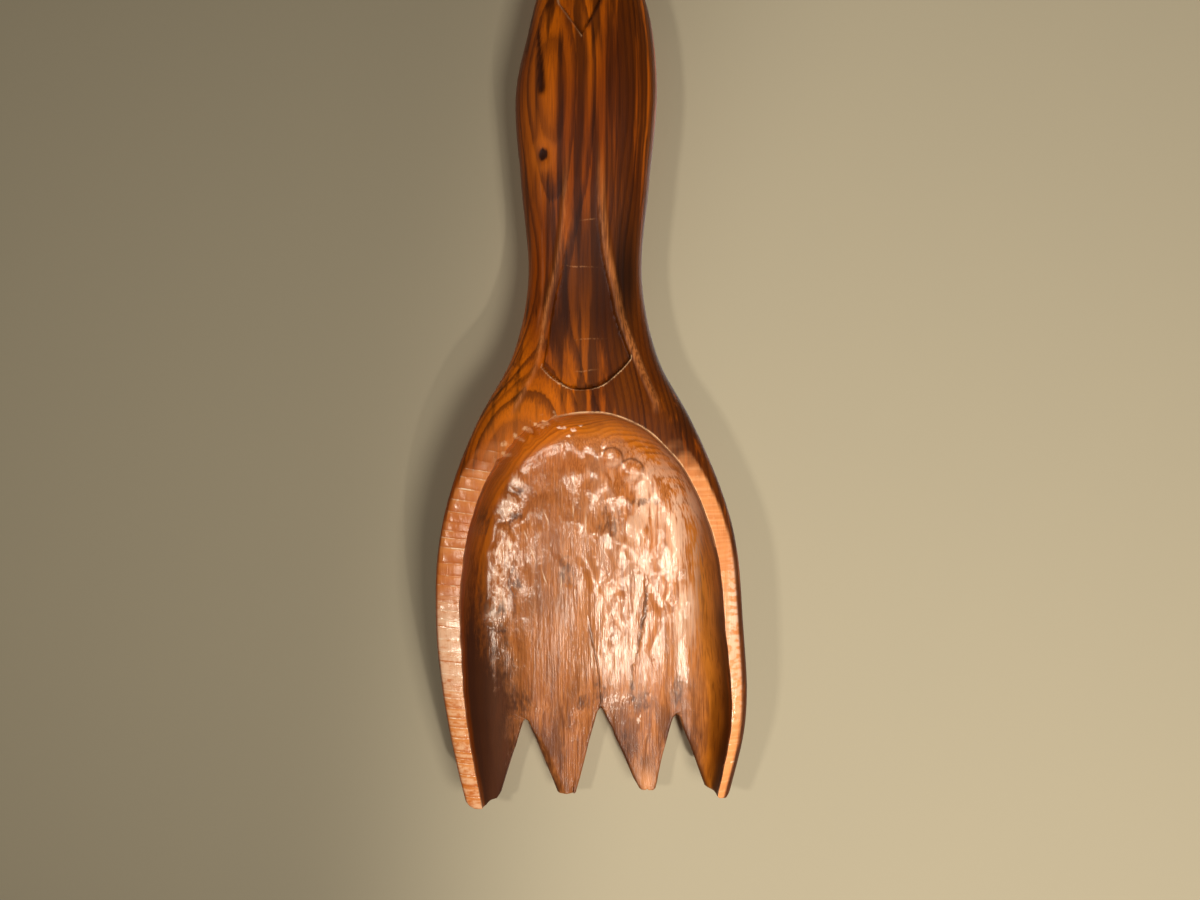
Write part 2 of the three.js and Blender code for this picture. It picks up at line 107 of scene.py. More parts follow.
# Swellings between the cuts: place across, height, half width, half height and rise.
DOMES = (
    (-32.5, 146, 5, 5.5, 1.5), (-36.5, 135, 6.5, 6.5, 2), (-38, 116, 6.5, 12.5, 2), (-40, 91, 6.5, 13, 1.9),
    (1.5, 105, 4, 13, 1.1), (24, 121, 6.5, 13, 1), (36, 112, 4.5, 22, 0.9),
    (-20, 131, 9, 9, 0.8), (-17, 108, 8, 9, 0.7), (-6, 148, 6, 7, 0.8), (28, 84, 6, 16, 0.8), (14, 84, 4, 16, 0.7),
    (5, 145, 4, 9, 1.1), (-40, 103.5, 5.5, 9, 1.3),
)
DOME_BEND = 2  # how far their outlines wander
CHATTER_STEP = 4.4  # between the marks along the rim

# The tines: middle, width and height of each tip, and its worn outline as shares across and rises.
Tine = namedtuple("Tine", "middle width tip worn")
TINES = (
    Tine(-45, 9, 0, ((0, 3.5), (0.15, 1.2), (0.3, 0.2), (0.45, 0), (0.6, 0.5), (0.7, 2), (0.9, 2.4), (1, 4.5))),
    Tine(-9, 8, 3.5, ((0, 0.9), (0.12, 0.1), (0.5, 0), (0.9, 0.2), (1, 0.9))),
    Tine(27.4, 7, 5.5, ((0, 1), (0.15, 0.1), (0.42, 0.1), (0.5, 0.8), (0.58, 0.1), (0.85, 0), (1, 1))),
    Tine(59, 9, 5, ((0, 4), (0.12, 3.2), (0.35, 2.6), (0.55, 0.3), (0.85, 0), (1, 2.5))),
)
Gap = namedtuple("Gap", "middle top crown")
GAPS = (Gap(-27.6, 37.5, 4), Gap(6.3, 43, 4), Gap(40.6, 39.5, 5))
TINE_EDGE = 1.3  # rounding of the tines' front edges
# The knife cut down the left edge of the second tine.
CHAMFER, CHAMFER_SLOPE, CHAMFER_TOP, CHAMFER_RUN = 3.2, 0.7, 37, 14

# The carving on the handle: points of height and place across.
LEFT_RIDGE = ((176.5, -31), (185.5, -26.5), (193, -22.8), (201, -20.4), (217, -18), (240, -13), (264, -9.7), (300, -8))
RIGHT_RIDGE = ((180, 30), (196, 23.1), (204, 20), (217, 15.3), (228, 13.1), (242, 9.9), (267, 6.7), (300, 6))
LEFT_RIDGE_WIDTH, RIGHT_RIDGE_WIDTH, RIDGE_HEIGHT = 1.1, 1.65, 0.7
RIDGE_SPAN = (174, 182, 262, 296)
TONGUE_FOOT, TONGUE_MIDDLE, TONGUE_BEND = 184.9, -1.5, 0.0317  # lowest point and curve of the panel's foot
TONGUE_DEPTH, TONGUE_FADE = 2.2, 92  # depth at the foot, and the length over which it runs out
LEFT_MARGIN, RIGHT_MARGIN = 2.6, 2  # between the ridges and the tongue panel
LEAF_POINT = (338, -1.8)
LEFT_LEAF = (LEAF_POINT, (346, -7.3), (353, -12), (385, -14.5), (456, -15.5), (505, -10), (530, 0))
RIGHT_LEAF = (LEAF_POINT, (346, 2.4), (353, 6), (385, 12.5), (456, 15.5), (505, 10), (530, 0))
LEAF_DEPTH = 1.8
PANEL_WALL = 1.1  # run of the wall of a carved panel
SLIT = ((313, -19.4), (318, -19.6), (345, -21))  # a knife slit beside the leaf's point
SLIT_SPAN = (312, 317, 338, 347)
SLIT_DEPTH, SLIT_WIDTH, SLIT_WIDENING = 0.9, 0.5, 1.1
KNOT_PLACE, KNOT_HEIGHT, KNOT_RADIUS, KNOT_DEPTH = -18.6, 287.4, 2.4, 0.4

# What the finish follows over the body: distance inside the hollow, the planed rim and the way along it, painted
# highlights along the carved edges and the chips, the ridges, the swellings, the edges of the gaps for painted shade,
# the tongue panel, dark cuts with a painted shadow, and the sawn back.
MARKS = ("in_hollow", "rim", "rim_run", "arris", "ridge", "swell", "tine_edge", "panel", "cut", "sawn")

# Rows and columns of the body's mesh.
COLUMNS = (48, 40, 40, 48)  # over each tine, on the front
BACK_THIN = 4  # the back has one column for this many on the front
TINE_ROWS, BLEND_ROWS, HEAD_ROWS = 46, 38, 168
BLEND_HEIGHT, HALVING_HEIGHT = 75, 208  # rows are level from here up, and every other column stops here
GRIP_STEP, TOP_STEP, TOP_FROM, DOME_ROWS = 1.15, 1.9, 372, 14
TIP_CROWDING = 1.6  # rows stand closer towards the tips
GAP_CROWDING, CROWDING_REACH = 4, 1.4  # columns stand closer beside the gaps


def curve(points):
    """A smooth curve through points of height and value. Each point takes the mean slope of its neighbours."""
    at, to = np.array(points, float).T
    run = np.diff(at)
    slope = np.diff(to) / run
    tangent = np.concatenate((slope[:1], (slope[:-1] + slope[1:]) / 2, slope[-1:]))

    def value(z):
        z = np.clip(z, at[0], at[-1])
        i = np.clip(np.searchsorted(at, z, "right") - 1, 0, len(run) - 1)
        t = (z - at[i]) / run[i]
        bend = t * t * (3 - 2 * t)
        start, end = t * (1 - t) ** 2, t * t * (t - 1)
        return to[i] + (to[i + 1] - to[i]) * bend + run[i] * (tangent[i] * start + tangent[i + 1] * end)

    return value


def polyline(points):
    """Straight lines through points of height and value."""
    at, to = np.array(points, float).T
    return lambda z: np.interp(z, at, to)


def ease(value, low, high):
    """0 below low, 1 above high, and a smooth step between them."""
    t = np.clip((value - low) / (high - low), 0, 1)
    return t * t * (3 - 2 * t)


def between(value, start, full, fading, gone):
    """1 from full to fading, and 0 before start and after gone."""
    return ease(value, start, full) * (1 - ease(value, fading, gone))


def wander(x, z, size, seed):
    """A gentle unevenness between about -1 and 1, with bumps of about the given size."""
    dice = np.random.default_rng(seed)
    total = 0
    for _ in range(8):
        angle, phase = dice.uniform(0, 2 * math.pi, 2)
        wave = 2 * math.pi / (size * dice.uniform(0.7, 1.8))
        total = total + np.sin(wave * (x * math.cos(angle) + z * math.sin(angle)) + phase)
    return total / 4


half_at, sway_at, front_at, widest_at, square_at = (
    curve([(s.height, getattr(s, name)) for s in STATIONS]) for name in Station._fields[1:]
)
back_at = polyline(BACK_LINE)
ROOT_HEIGHT, KNOB_HEIGHT = STATIONS[1].height, STATIONS[-1].height
ARCH_FOOT = ARCH_TOP - ARCH_RISE


def dome_at(z):
    """Share of the section that is left: 1 up to the knob, and 0 at the top."""
    return np.sqrt(np.clip(1 - (np.clip(z - KNOB_HEIGHT, 0, None) / KNOB_RISE) ** 2, 1e-12, 1))


def silhouette(z, side):
    """Place across of the left edge, for side -1, or of the right edge, for side 1."""
    return sway_at(z) + side * half_at(z) * dome_at(z)


def across(x, z):
    """Place across the section, from -1 at the left edge to 1 at the right one."""
    return np.clip((x - sway_at(z)) / (half_at(z) * dome_at(z)), -1, 1)


def outer_skin(x, z):
    """Depth of the uncarved front."""
    u = across(x, z)
    lean = HEAD_LEAN * (1 - ease(z, *LEAN_FADE))
    power = square_at(z) * np.where(u < 0, 1 + lean, 1 - lean)
    reach = (front_at(z) + widest_at(z)) * dome_at(z)
    return widest_at(z) - reach * (1 - np.abs(u) ** power) ** (1 / power)


def back_skin(x, z):
    """Depth of the back: a rounded plank with a sawn flat."""
    reach = (back_at(z) + BACK_CROWN - widest_at(z)) * dome_at(z)
    rounded = (1 - np.abs(across(x, z)) ** BACK_SQUARE) ** (1 / BACK_SQUARE)
    return np.minimum(widest_at(z) + reach * rounded, back_at(z))


def hollow_middle(z):
    return sway_at(z) + HOLLOW_SHIFT


def hollow_half(z):
    below = np.clip(z, 0, ARCH_FOOT)
    return half_at(below) - (TIP_RIM + (RIM - TIP_RIM) * below / ARCH_FOOT)


def drawn_hollow(x, z):
    """Distance from the hollow's edge as drawn, positive inside."""
    up = np.clip(z - ARCH_FOOT, 0, None)
    out = np.maximum(np.abs(x - hollow_middle(z)), 0.5)
    share = ((out / hollow_half(z)) ** ARCH_POWER + (up / ARCH_RISE) ** ARCH_POWER) ** (1 / ARCH_POWER)
    return np.hypot(out, up) * (1 / share - 1)


def chipping(x, z, distance):
    """Where the edge of the hollow is chipped, at the upper left."""
    return between(-x, *CHIPPED) * ease(z, *CHIPPED_FROM) * (1 - ease(np.abs(distance), *CHIP_REACH))


def inside_hollow(x, z):
    """Distance from the hollow's edge as cut: a little uneven, and chipped."""
    distance = drawn_hollow(x, z)
    return distance + 0.3 * wander(x, z, 16, 3) + chipping(x, z, distance) * wander(x, z, 5, 4)


def hollow_floor(x, z):
    """Depth of the floor, which swells along the middle and has crests above the gaps."""
    floor = TIP_FLOOR_DEPTH + (FLOOR_DEPTH - TIP_FLOOR_DEPTH) * np.clip(z / ROOT_HEIGHT, 0, 1)
    for gap in GAPS:
        crest = np.exp(-((x - gap.middle - FURROW_LEAN * (z - gap.top)) / FURROW_WIDTH) ** 2)
        floor = floor - FURROW * crest * (1 - ease(z, *FURROW_FADE))
    swell = np.clip(1 - ((x - CROWN_MIDDLE) / CROWN_HALF) ** 2, 0, 1) * between(z, *CROWN_SPAN)
    return floor - CROWN * swell + 0.5 * wander(x, z / 3, 22, 5)


def scooped(outer, x, z, edge):
    """Depth of the front with the hollow cut into it, at a distance inside the hollow's edge."""
    side = ease(x, *WALL_CHANGE)
    length, power = (a + (b - a) * side for a, b in zip(LEFT_WALL, RIGHT_WALL))
    run = np.clip(edge / length, 0, 1)
    wall = (1 - (1 - run) ** power) ** (1 / power)
    return outer + (hollow_floor(x, z) - outer) * wall


def drawn_skin(x, z):
    """Depth of the front with the hollow as drawn."""
    return scooped(outer_skin(x, z), x, z, drawn_hollow(x, z))


def flank(gap_number, side, z):
    """Place across of a tine's flank, on the left or right side of a gap."""
    gap = GAPS[gap_number]
    tine = TINES[gap_number + (side > 0)]
    crown = gap.middle + side * 0.5 * np.sqrt(gap.crown * np.clip(gap.top - z, 0, None))
    bend = gap.top - gap.crown
    foot = tine.middle - side * tine.width / 2
    straight = gap.middle + side * gap.crown / 2
    straight = straight + (foot - straight) * (bend - z) / (bend - tine.tip)
    return np.where(z > bend, crown, straight)


def from_gaps(x, z):
    """Distance from the nearest gap between tines."""
    nearest = np.full(np.shape(x), 1e3)
    for i, gap in enumerate(GAPS):
        beside = np.where(x < gap.middle, flank(i, -1, z) - x, x - flank(i, 1, z))
        above = np.hypot(x - gap.middle, z - gap.top)
        nearest = np.minimum(nearest, np.where(z < gap.top, 0.9 * beside, above))
    return np.clip(nearest, 0, None)


def crowding(x, z):
    """How much closer columns stand beside the gaps, where the edges are rounded."""
    return 1 + GAP_CROWDING * np.exp(-((from_gaps(x, z) / CROWDING_REACH) ** 2))


# The body's mesh: level rows of points over the front and the back, joined round the outline. A row's length is
# measured at these shares across it, which are closer beside an outer edge, where the skin is steep.
FINE_EDGE = 1 - np.cos(np.linspace(0, math.pi / 2, 120)) ** (1 / 3)
FROM_LEFT = np.unique(np.concatenate((FINE_EDGE, np.linspace(0, 1, 260))))
BOTH_ENDS = np.unique(np.concatenate((FROM_LEFT / 2, 1 - FROM_LEFT / 2)))
EVEN = np.linspace(0, 1, 300)
TINE_SHARES = (FROM_LEFT, EVEN, EVEN, 1 - FROM_LEFT[::-1])


def lengths(xs, zs, skin):
    """Share of the way along a line over the skin, with crowded stretches counted as longer."""
    steps = np.sqrt(np.diff(xs) ** 2 + np.diff(skin(xs, zs)) ** 2 + np.diff(zs) ** 2)
    steps = steps * crowding((xs[1:] + xs[:-1]) / 2, (zs[1:] + zs[:-1]) / 2)
    along = np.concatenate(([0], np.cumsum(steps)))
    return along / along[-1]


def lay(xs, zs, skin, shares):
    """Points on a line, at shares of its length over the skin."""
    along = lengths(xs, zs, skin)
    return np.interp(shares, along, xs), np.interp(shares, along, zs)


def root_line():
    """The row through the tops of the gaps, as places across and heights."""
    first, last = GAPS[0].top, GAPS[-1].top
    middle = [(gap.middle, gap.top) for gap in GAPS]
    return np.array([(silhouette(first, -1), first), *middle, (silhouette(last, 1), last)]).T


def head_line(level):
    """A row from the roots of the tines, at level 0, up to the first level row, at level 1."""
    def lift(z):
        return z + (BLEND_HEIGHT - z) * level

    root_x, root_z = root_line()
    left, right = silhouette(lift(root_z[0]), -1), silhouette(lift(root_z[-1]), 1)
    xs = left + (right - left) * BOTH_ENDS
    squeezed = np.interp(xs, [left, *root_x[1:-1], right], root_z)
    return xs, lift(squeezed)


def level_line(z):
    left, right = silhouette(z, -1), silhouette(z, 1)
    return left + (right - left) * BOTH_ENDS, np.full(BOTH_ENDS.shape, float(z))


def tine_line(number, share):
    """A row across a tine, from its root at share 0 to its worn tip at share 1, and the height of the tip below."""
    tine = TINES[number]
    worn = polyline(tine.worn)
    tops = [GAPS[max(number - 1, 0)].top, GAPS[min(number, len(GAPS) - 1)].top]
    low, high = (top + (tine.tip + worn(end) - top) * share for top, end in zip(tops, (0, 1)))
    left = silhouette(low, -1) if number == 0 else flank(number - 1, 1, low)
    right = silhouette(high, 1) if number == len(GAPS) else flank(number, -1, high)
    q = TINE_SHARES[number]
    tip = tine.tip + worn(q)
    root = tops[0] + (tops[1] - tops[0]) * q
    return left + (right - left) * q, root + (tip - root) * share, tip


def head_heights():
    """Heights of the level rows of the head, closer where the arch's wall is steep."""
    zs = np.linspace(BLEND_HEIGHT, HALVING_HEIGHT, 3000)
    along = lengths(hollow_middle(zs), zs, drawn_skin)
    return np.interp(np.linspace(0, 1, HEAD_ROWS + 1), along, zs)[1:]


def handle_heights():
    """Heights of the rows of the handle, to the top of the knob."""
    grip = np.linspace(HALVING_HEIGHT, TOP_FROM, round((TOP_FROM - HALVING_HEIGHT) / GRIP_STEP) + 1)[1:]
    top = np.linspace(TOP_FROM, KNOB_HEIGHT, round((KNOB_HEIGHT - TOP_FROM) / TOP_STEP) + 1)[1:]
    dome = KNOB_HEIGHT + KNOB_RISE * np.sin(np.linspace(0, math.pi / 2, DOME_ROWS + 1)[1:])
    return np.concatenate((grip, top, dome))


class Skin:
    """Rows of points over one side of the body, with grids of point numbers for its patches.

    fixed: points that stay where they are. crease: the number of the carved edge that a point is on, or 0.
    """

    def __init__(self, skin, columns):
        self.rows, self.count = [], 0
        root = head_line(0)
        along = lengths(*root, skin)
        bounds = [0, *np.interp([gap.middle for gap in GAPS], root[0], along), 1]
        parts = [np.linspace(a, b, n + 1) for a, b, n in zip(bounds, bounds[1:], columns)]
        shares = np.concatenate([parts[0], *(part[1:] for part in parts[1:])])
        starts = np.concatenate(([0], np.cumsum(columns)))
        lines = [head_line(i / BLEND_ROWS) for i in range(BLEND_ROWS + 1)]
        lines += [level_line(z) for z in head_heights()]
        self.head = np.array([self.add(*lay(*line, skin, shares)) for line in lines])
        self.tines = []
        for number, n in enumerate(columns):
            grid = [self.head[0, starts[number] : starts[number + 1] + 1]]
            for i in range(1, TINE_ROWS + 1):
                xs, zs, tip = tine_line(number, 1 - (1 - i / TINE_ROWS) ** TIP_CROWDING)
                x, z = lay(xs, zs, skin, np.linspace(0, 1, n + 1))
                grid.append(self.add(x, z, z - np.interp(x, xs, tip)))
            self.tines.append(np.array(grid))
        grid = [self.head[-1, ::2]]
        grid += [self.add(*lay(*level_line(z), skin, shares[::2])) for z in handle_heights()]
        self.handle = np.array(grid)
        self.x, self.z, self.above_tip = (np.concatenate(part) for part in zip(*self.rows))
        self.fixed, self.crease = np.zeros(self.count, bool), np.zeros(self.count, int)
        sides, tips = self.outline()
        for line in (*sides, *tips):
            self.fixed[line] = True

    def add(self, x, z, above_tip=None):
        self.rows.append((x, z, np.full(x.shape, 1e3) if above_tip is None else above_tip))
        self.count += len(x)
        return np.arange(self.count - len(x), self.count)

    def patches(self):
        return [self.head, self.handle, *self.tines]

    def outline(self):
        """Point numbers down both sides of each tine and up both sides of the body, and along each tip."""
        left = np.concatenate((self.tines[0][::-1, 0], self.head[1:, 0], self.handle[1:, 0]))
        right = np.concatenate((self.tines[-1][::-1, -1], self.head[1:, -1], self.handle[1:, -1]))
        flanks = [tine[:, 0] for tine in self.tines[1:]] + [tine[:, -1] for tine in self.tines[:-1]]
        return [left, right, *flanks], [tine[-1] for tine in self.tines]

    def edges(self):
        pairs = []
        for grid in self.patches():
            pairs += [np.stack((grid[:, :-1].ravel(), grid[:, 1:].ravel()))]
            pairs += [np.stack((grid[:-1].ravel(), grid[1:].ravel()))]
        return np.concatenate(pairs, axis=1)

    def snap_to(self, inside, number):
        """Moves the points nearest to a carved edge onto it, so that the edge stays crisp."""
        distance = inside(self.x, self.z)
        a, b = self.edges()
        crossing = distance[a] * distance[b] < 0
        a, b = a[crossing], b[crossing]
        t = distance[a] / (distance[a] - distance[b])
        nearer = np.where((t < 0.5) & ~self.fixed[a] | self.fixed[b], a, b)
        x, z = self.x[a] + t * (self.x[b] - self.x[a]), self.z[a] + t * (self.z[b] - self.z[a])
        moved = np.hypot(x - self.x[nearer], z - self.z[nearer])
        order = np.argsort(-moved)
        order = order[~self.fixed[nearer[order]]]
        points = nearer[order]
        self.x[points], self.z[points] = x[order], z[order]
        self.crease[points] = number
        self.fixed[points] = True

    def patch_faces(self, grid):
        """Faces of a patch. A face that a carved edge crosses is split along it."""
        corners = np.stack((grid[:-1, :-1], grid[:-1, 1:], grid[1:, 1:], grid[1:, :-1]), axis=-1).reshape(-1, 4)
        on = self.crease[corners]
        rising = (on[:, 0] > 0) & (on[:, 0] == on[:, 2])
        falling = (on[:, 1] > 0) & (on[:, 1] == on[:, 3]) & ~rising
        whole = corners[~rising & ~falling].tolist()
        halves = [corners[rising][:, [0, 1, 2]], corners[rising][:, [0, 2, 3]]]
        halves += [corners[falling][:, [0, 1, 3]], corners[falling][:, [1, 2, 3]]]
        return whole + np.concatenate(halves).tolist()

    def faces(self):
        """Faces of all patches. The first row of the handle takes in two columns of the head with each face."""
        faces = self.patch_faces(self.head)
        for tine in self.tines:
            faces += self.patch_faces(tine)
        first, second = self.head[-1], self.handle[1]
        for i in range(len(second) - 1):
            faces.append([*first[2 * i : 2 * i + 3], second[i + 1], second[i]])
        return faces + self.patch_faces(self.handle[1:])


# The carving. The mesh follows three carved edges, which have numbers.
HOLLOW_EDGE, TONGUE_EDGE, LEAF_EDGE = 1, 2, 3
left_ridge, right_ridge = curve(LEFT_RIDGE), curve(RIGHT_RIDGE)
left_leaf, right_leaf = polyline(LEFT_LEAF), polyline(RIGHT_LEAF)
slit_at = polyline(SLIT)


def tongue_foot(x):
    return TONGUE_FOOT + TONGUE_BEND * (x - TONGUE_MIDDLE) ** 2


def tongue_depth(z):
    return TONGUE_DEPTH * np.clip(1 - (z - TONGUE_FOOT) / TONGUE_FADE, 0, 1)


def inside_tongue(x, z):
    """Distance from the edge of the tongue panel, positive inside."""
    sides = np.minimum(x - left_ridge(z) - LEFT_MARGIN, right_ridge(z) - RIGHT_MARGIN - x)
    uneven = 0.12 * wander(x, z, 9, 6) * (tongue_depth(z) > 0.2)
    return np.minimum(sides, 0.9 * (z - tongue_foot(x))) + uneven


def tongue_outline(x, z):
    """The same, as far up as the panel's edge can be seen."""
    return np.where(z < TONGUE_FOOT + TONGUE_FADE + 8, inside_tongue(x, z), -1)


def inside_leaf(x, z):
    """Distance from the edge of the leaf panel, positive inside."""
    low, high = LEFT_LEAF[0][0], LEFT_LEAF[-1][0]
    return np.minimum(np.minimum(x - left_leaf(z), right_leaf(z) - x), np.minimum(z - low, high - z))


def leaf_line(x, z):
    return np.exp(-((inside_leaf(x, z) / 0.9) ** 2))


def ridge_lines(x, z):
    """The two raised lines beside the tongue panel."""
    left = np.exp(-(((x - left_ridge(z)) / LEFT_RIDGE_WIDTH) ** 2))
    right = np.exp(-(((x - right_ridge(z)) / RIGHT_RIDGE_WIDTH) ** 4))
    return (left + right) * between(z, *RIDGE_SPAN)


def slit_line(x, z):
    """The knife slit, which narrows on its way up."""
    width = SLIT_WIDTH + SLIT_WIDENING * (1 - ease(z, SLIT[1][0], SLIT[-1][0]))
    return np.exp(-(((x - slit_at(z)) / width) ** 2)) * between(z, *SLIT_SPAN)


def rounded_edge(distance, radius):
    """How far a rounded edge falls back, at a distance from the outline."""
    short = radius - np.clip(distance, 0, radius)
    return radius - np.sqrt(radius**2 - short**2)


def swollen(y, x, z):
    """The depth with the round cuts and the swellings in it, and how far inside a swelling each point is."""
    for middle, level, radius in DISHES:
        out = np.hypot(x - middle, z - level) / radius
        y = y + DISH_DEPTH * np.clip(1 - out**3, 0, 1)
    bent = DOME_BEND * wander(x, z, 15, 12)
    swell = np.full(x.shape, -1.0)
    for middle, level, half, high, rise in DOMES:
        out = ((x - middle + bent) / half) ** 2 + ((z - level + bent) / high) ** 2
        y = y - rise * ease(1 - out, 0, 1.3)
        swell = np.maximum(swell, 1 - out)
    return y, swell


def planed_rim(x, z, edge):
    """Where the rim is planed, up to a ragged end beside the arch."""
    u = across(x, z)
    width = np.where(u < 0, LEFT_FLAT, RIGHT_FLAT)
    flat = ease(edge, -width - 1, -width) * (edge <= 0) * (1 - ease(z + 4 * wander(x, z, 9, 9), *FLAT_TOP))
    return flat * np.where(u < 0, 1 - ease(-u, *LEFT_FLAT_END), 1 - ease(u, *RIGHT_FLAT_END))


def edge_highlights_and_chips(x, z, edge, on_tongue):
    """Painted highlights along the edges of the hollow and the panels, on their lit sides, and the pale chips."""
    # painted highlight along the hollow's edge, brightest along the arch's upper right
    hollow = np.exp(-((edge / 0.4) ** 2)) * np.where(z > 118, ease(x, -26, -6), 0.4)
    # painted highlight along the foot of the tongue panel
    tongue = (0.45 + 0.5 * ease(np.abs(x - TONGUE_MIDDLE), 3, 9)) * on_tongue * (1 - ease(z - tongue_foot(x), 1, 3))
    # painted highlight on the lit left arm of the leaf's point
    leaf = 0.6 * leaf_line(x, z) * (x < LEAF_POINT[1])
    flakes = chipping(x, z, edge) * ease(wander(x, z, 3.5, 11), 0.05, 0.5) * (1 - ease(np.abs(edge), 1.5, 4))
    return hollow + (tongue + leaf) + 0.75 * flakes


def carved_front():
    """The front skin with its carving, and the marks that the finish follows."""
    skin = Skin(drawn_skin, COLUMNS)
    skin.snap_to(inside_hollow, HOLLOW_EDGE)
    skin.snap_to(tongue_outline, TONGUE_EDGE)
    skin.snap_to(inside_leaf, LEAF_EDGE)
    x, z, crease = skin.x, skin.z, skin.crease

    edge = np.where(crease == HOLLOW_EDGE, 0, inside_hollow(x, z))
    tilt = RIM_TILT * np.clip(RIM + edge, 0, RIM) * (1 - ease(x, *TILT_ACROSS)) * (1 - ease(z, *TILT_UP))
    y, swell = swollen(scooped(outer_skin(x, z) + tilt, x, z, edge), x, z)

    ridges, slit = ridge_lines(x, z), slit_line(x, z)
    in_tongue = ease(inside_tongue(x, z), 0, PANEL_WALL)
    tongue = np.where(crease == TONGUE_EDGE, 0, in_tongue) * tongue_depth(z)
    leaf = np.where(crease == LEAF_EDGE, 0, ease(inside_leaf(x, z), 0, PANEL_WALL)) * LEAF_DEPTH
    knot = np.exp(-((x - KNOT_PLACE) ** 2 + ((z - KNOT_HEIGHT) / 1.4) ** 2) / KNOT_RADIUS**2)
    y = y - RIDGE_HEIGHT * ridges + tongue + leaf + SLIT_DEPTH * slit + KNOT_DEPTH * knot

    gap = from_gaps(x, z)
    on_second = (x > GAPS[0].middle) & (x < TINES[1].middle + 3)
    chamfer = np.clip(CHAMFER * ease(CHAMFER_TOP - z, 0, CHAMFER_RUN) - gap, 0, None) * on_second
    y = y + CHAMFER_SLOPE * chamfer + rounded_edge(np.minimum(gap, skin.above_tip), TINE_EDGE)

    return skin, y, {
        "in_hollow": np.clip(edge, 0, 60),
        "rim": planed_rim(x, z, edge),
        "rim_run": np.where(x < 0, z + 0.12 * x, 500 + 0.45 * z) + 1.6 * wander(x / 3, z, 30, 10),
        "arris": edge_highlights_and_chips(x, z, edge, crease == TONGUE_EDGE),
        "ridge": ridges,
        "swell": swell,
        "tine_edge": np.exp(-((gap / 1.7) ** 2)),
        "panel": in_tongue * (1 - ease(z, 250, 276)),
        # the dark knife slit, and painted shadow on the right arm of the leaf's point
        "cut": np.clip(1.8 * slit + 0.9 * leaf_line(x, z) * (x > 0), 0, 1),
        "sawn": np.zeros(skin.count),
    }


def sawn_back():
    """The back skin, and its marks."""
    skin = Skin(back_skin, [n // BACK_THIN for n in COLUMNS])
    x, z = skin.x, skin.z
    y = back_skin(x, z) - rounded_edge(np.minimum(from_gaps(x, z), skin.above_tip), TINE_EDGE)
    marks = {name: np.zeros(skin.count) for name in MARKS}
    marks["sawn"] = ease(y - back_at(z), -0.8, -0.1)
    return skin, y, marks


# The row frame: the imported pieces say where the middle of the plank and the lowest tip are.
HANG_DEPTH = HEAD_BACK + SEAT_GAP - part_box("bumper_left")[0].y / MM
HANG_HEIGHT = -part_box("fork_body")[0].z / MM


def to_frame(x, y, z):
    """Places on the body, as points in the row frame."""
    return np.stack((x, y - HANG_DEPTH, z - HANG_HEIGHT), axis=-1) * MM


def new_object(name, data):
    item = bpy.data.objects.new(name, data)
    bpy.context.scene.collection.objects.link(item)
    return item


def clean(mesh):
    """Merges doubles and turns all faces outwards."""
    work = bmesh.new()
    work.from_mesh(mesh)
    bmesh.ops.remove_doubles(work, verts=work.verts, dist=MERGE)
    bmesh.ops.dissolve_degenerate(work, edges=work.edges, dist=MERGE)
    bmesh.ops.recalc_face_normals(work, faces=work.faces)
    work.to_mesh(mesh)
    work.free()


def body_blank():
    """The carved body before the tool marks."""
    front, front_y, front_marks = carved_front()
    back, back_y, back_marks = sawn_back()
    points = np.concatenate((to_frame(front.x, front_y, front.z), to_frame(back.x, back_y, back.z)))
    faces = front.faces()
    faces += [[i + front.count for i in face] for face in back.faces()]
    front_sides, front_tips = front.outline()
    back_sides, back_tips = back.outline()
    for near, far in zip(front_sides, back_sides):
        far = far + front.count
        faces += np.stack((near[:-1], near[1:], far[1:], far[:-1]), axis=-1).tolist()
    for near, far in zip(front_tips, back_tips):
        far = far + front.count
        for i in range(len(far) - 1):
            faces.append([*near[BACK_THIN * i : BACK_THIN * (i + 1) + 1], far[i + 1], far[i]])
    mesh = bpy.data.meshes.new("carved_fork")
    mesh.from_pydata(points.tolist(), [], faces)
    for name in MARKS:
        layer = mesh.attributes.new(name, "FLOAT", "POINT")
        layer.data.foreach_set("value", np.concatenate((front_marks[name], back_marks[name])).astype(np.float32))
    clean(mesh)
    return new_object("carved_fork", mesh)


# Node trees

class Wire:
    """A socket in a node tree. Sums on wires add Math nodes."""

    def __init__(self, tree, socket):
        self.tree, self.socket = tree, socket

    def other(self, name):
        """Another output of the same node."""
        return Wire(self.tree, self.socket.node.outputs[name])

    def math(self, operation, *others):
        return self.tree.maths(operation, self, *others)

    def __add__(self, other):
        return self.math("ADD", other)

    def __sub__(self, other):
        return self.math("SUBTRACT", other)

    def __rsub__(self, other):
        return self.tree.maths("SUBTRACT", other, self)

    def __mul__(self, other):
        return self.math("MULTIPLY", other)

    def __truediv__(self, other):
        return self.math("DIVIDE", other)

    def __rtruediv__(self, other):
        return self.tree.maths("DIVIDE", other, self)

    def __pow__(self, other):
        return self.math("POWER", other)

    __radd__, __rmul__ = __add__, __mul__

    def near(self, width):
        """1 at zero, falling off smoothly over a width on both sides."""
        share = self / width
        return (share * share * -1).math("EXPONENT")

    def within(self, low, high):
        """0 at low, 1 at high, and smooth between them."""
        settings = {"interpolation_type": "SMOOTHSTEP"}
        return self.tree.add("ShaderNodeMapRange", settings, {"Value": self, "From Min": low, "From Max": high})

    def between(self, start, full, fading, gone):
        """1 from full to fading, and 0 before start and after gone."""
        return self.within(start, full) * (1 - self.within(fading, gone))

    def capped(self):
        return self.math("MINIMUM", 1.0)


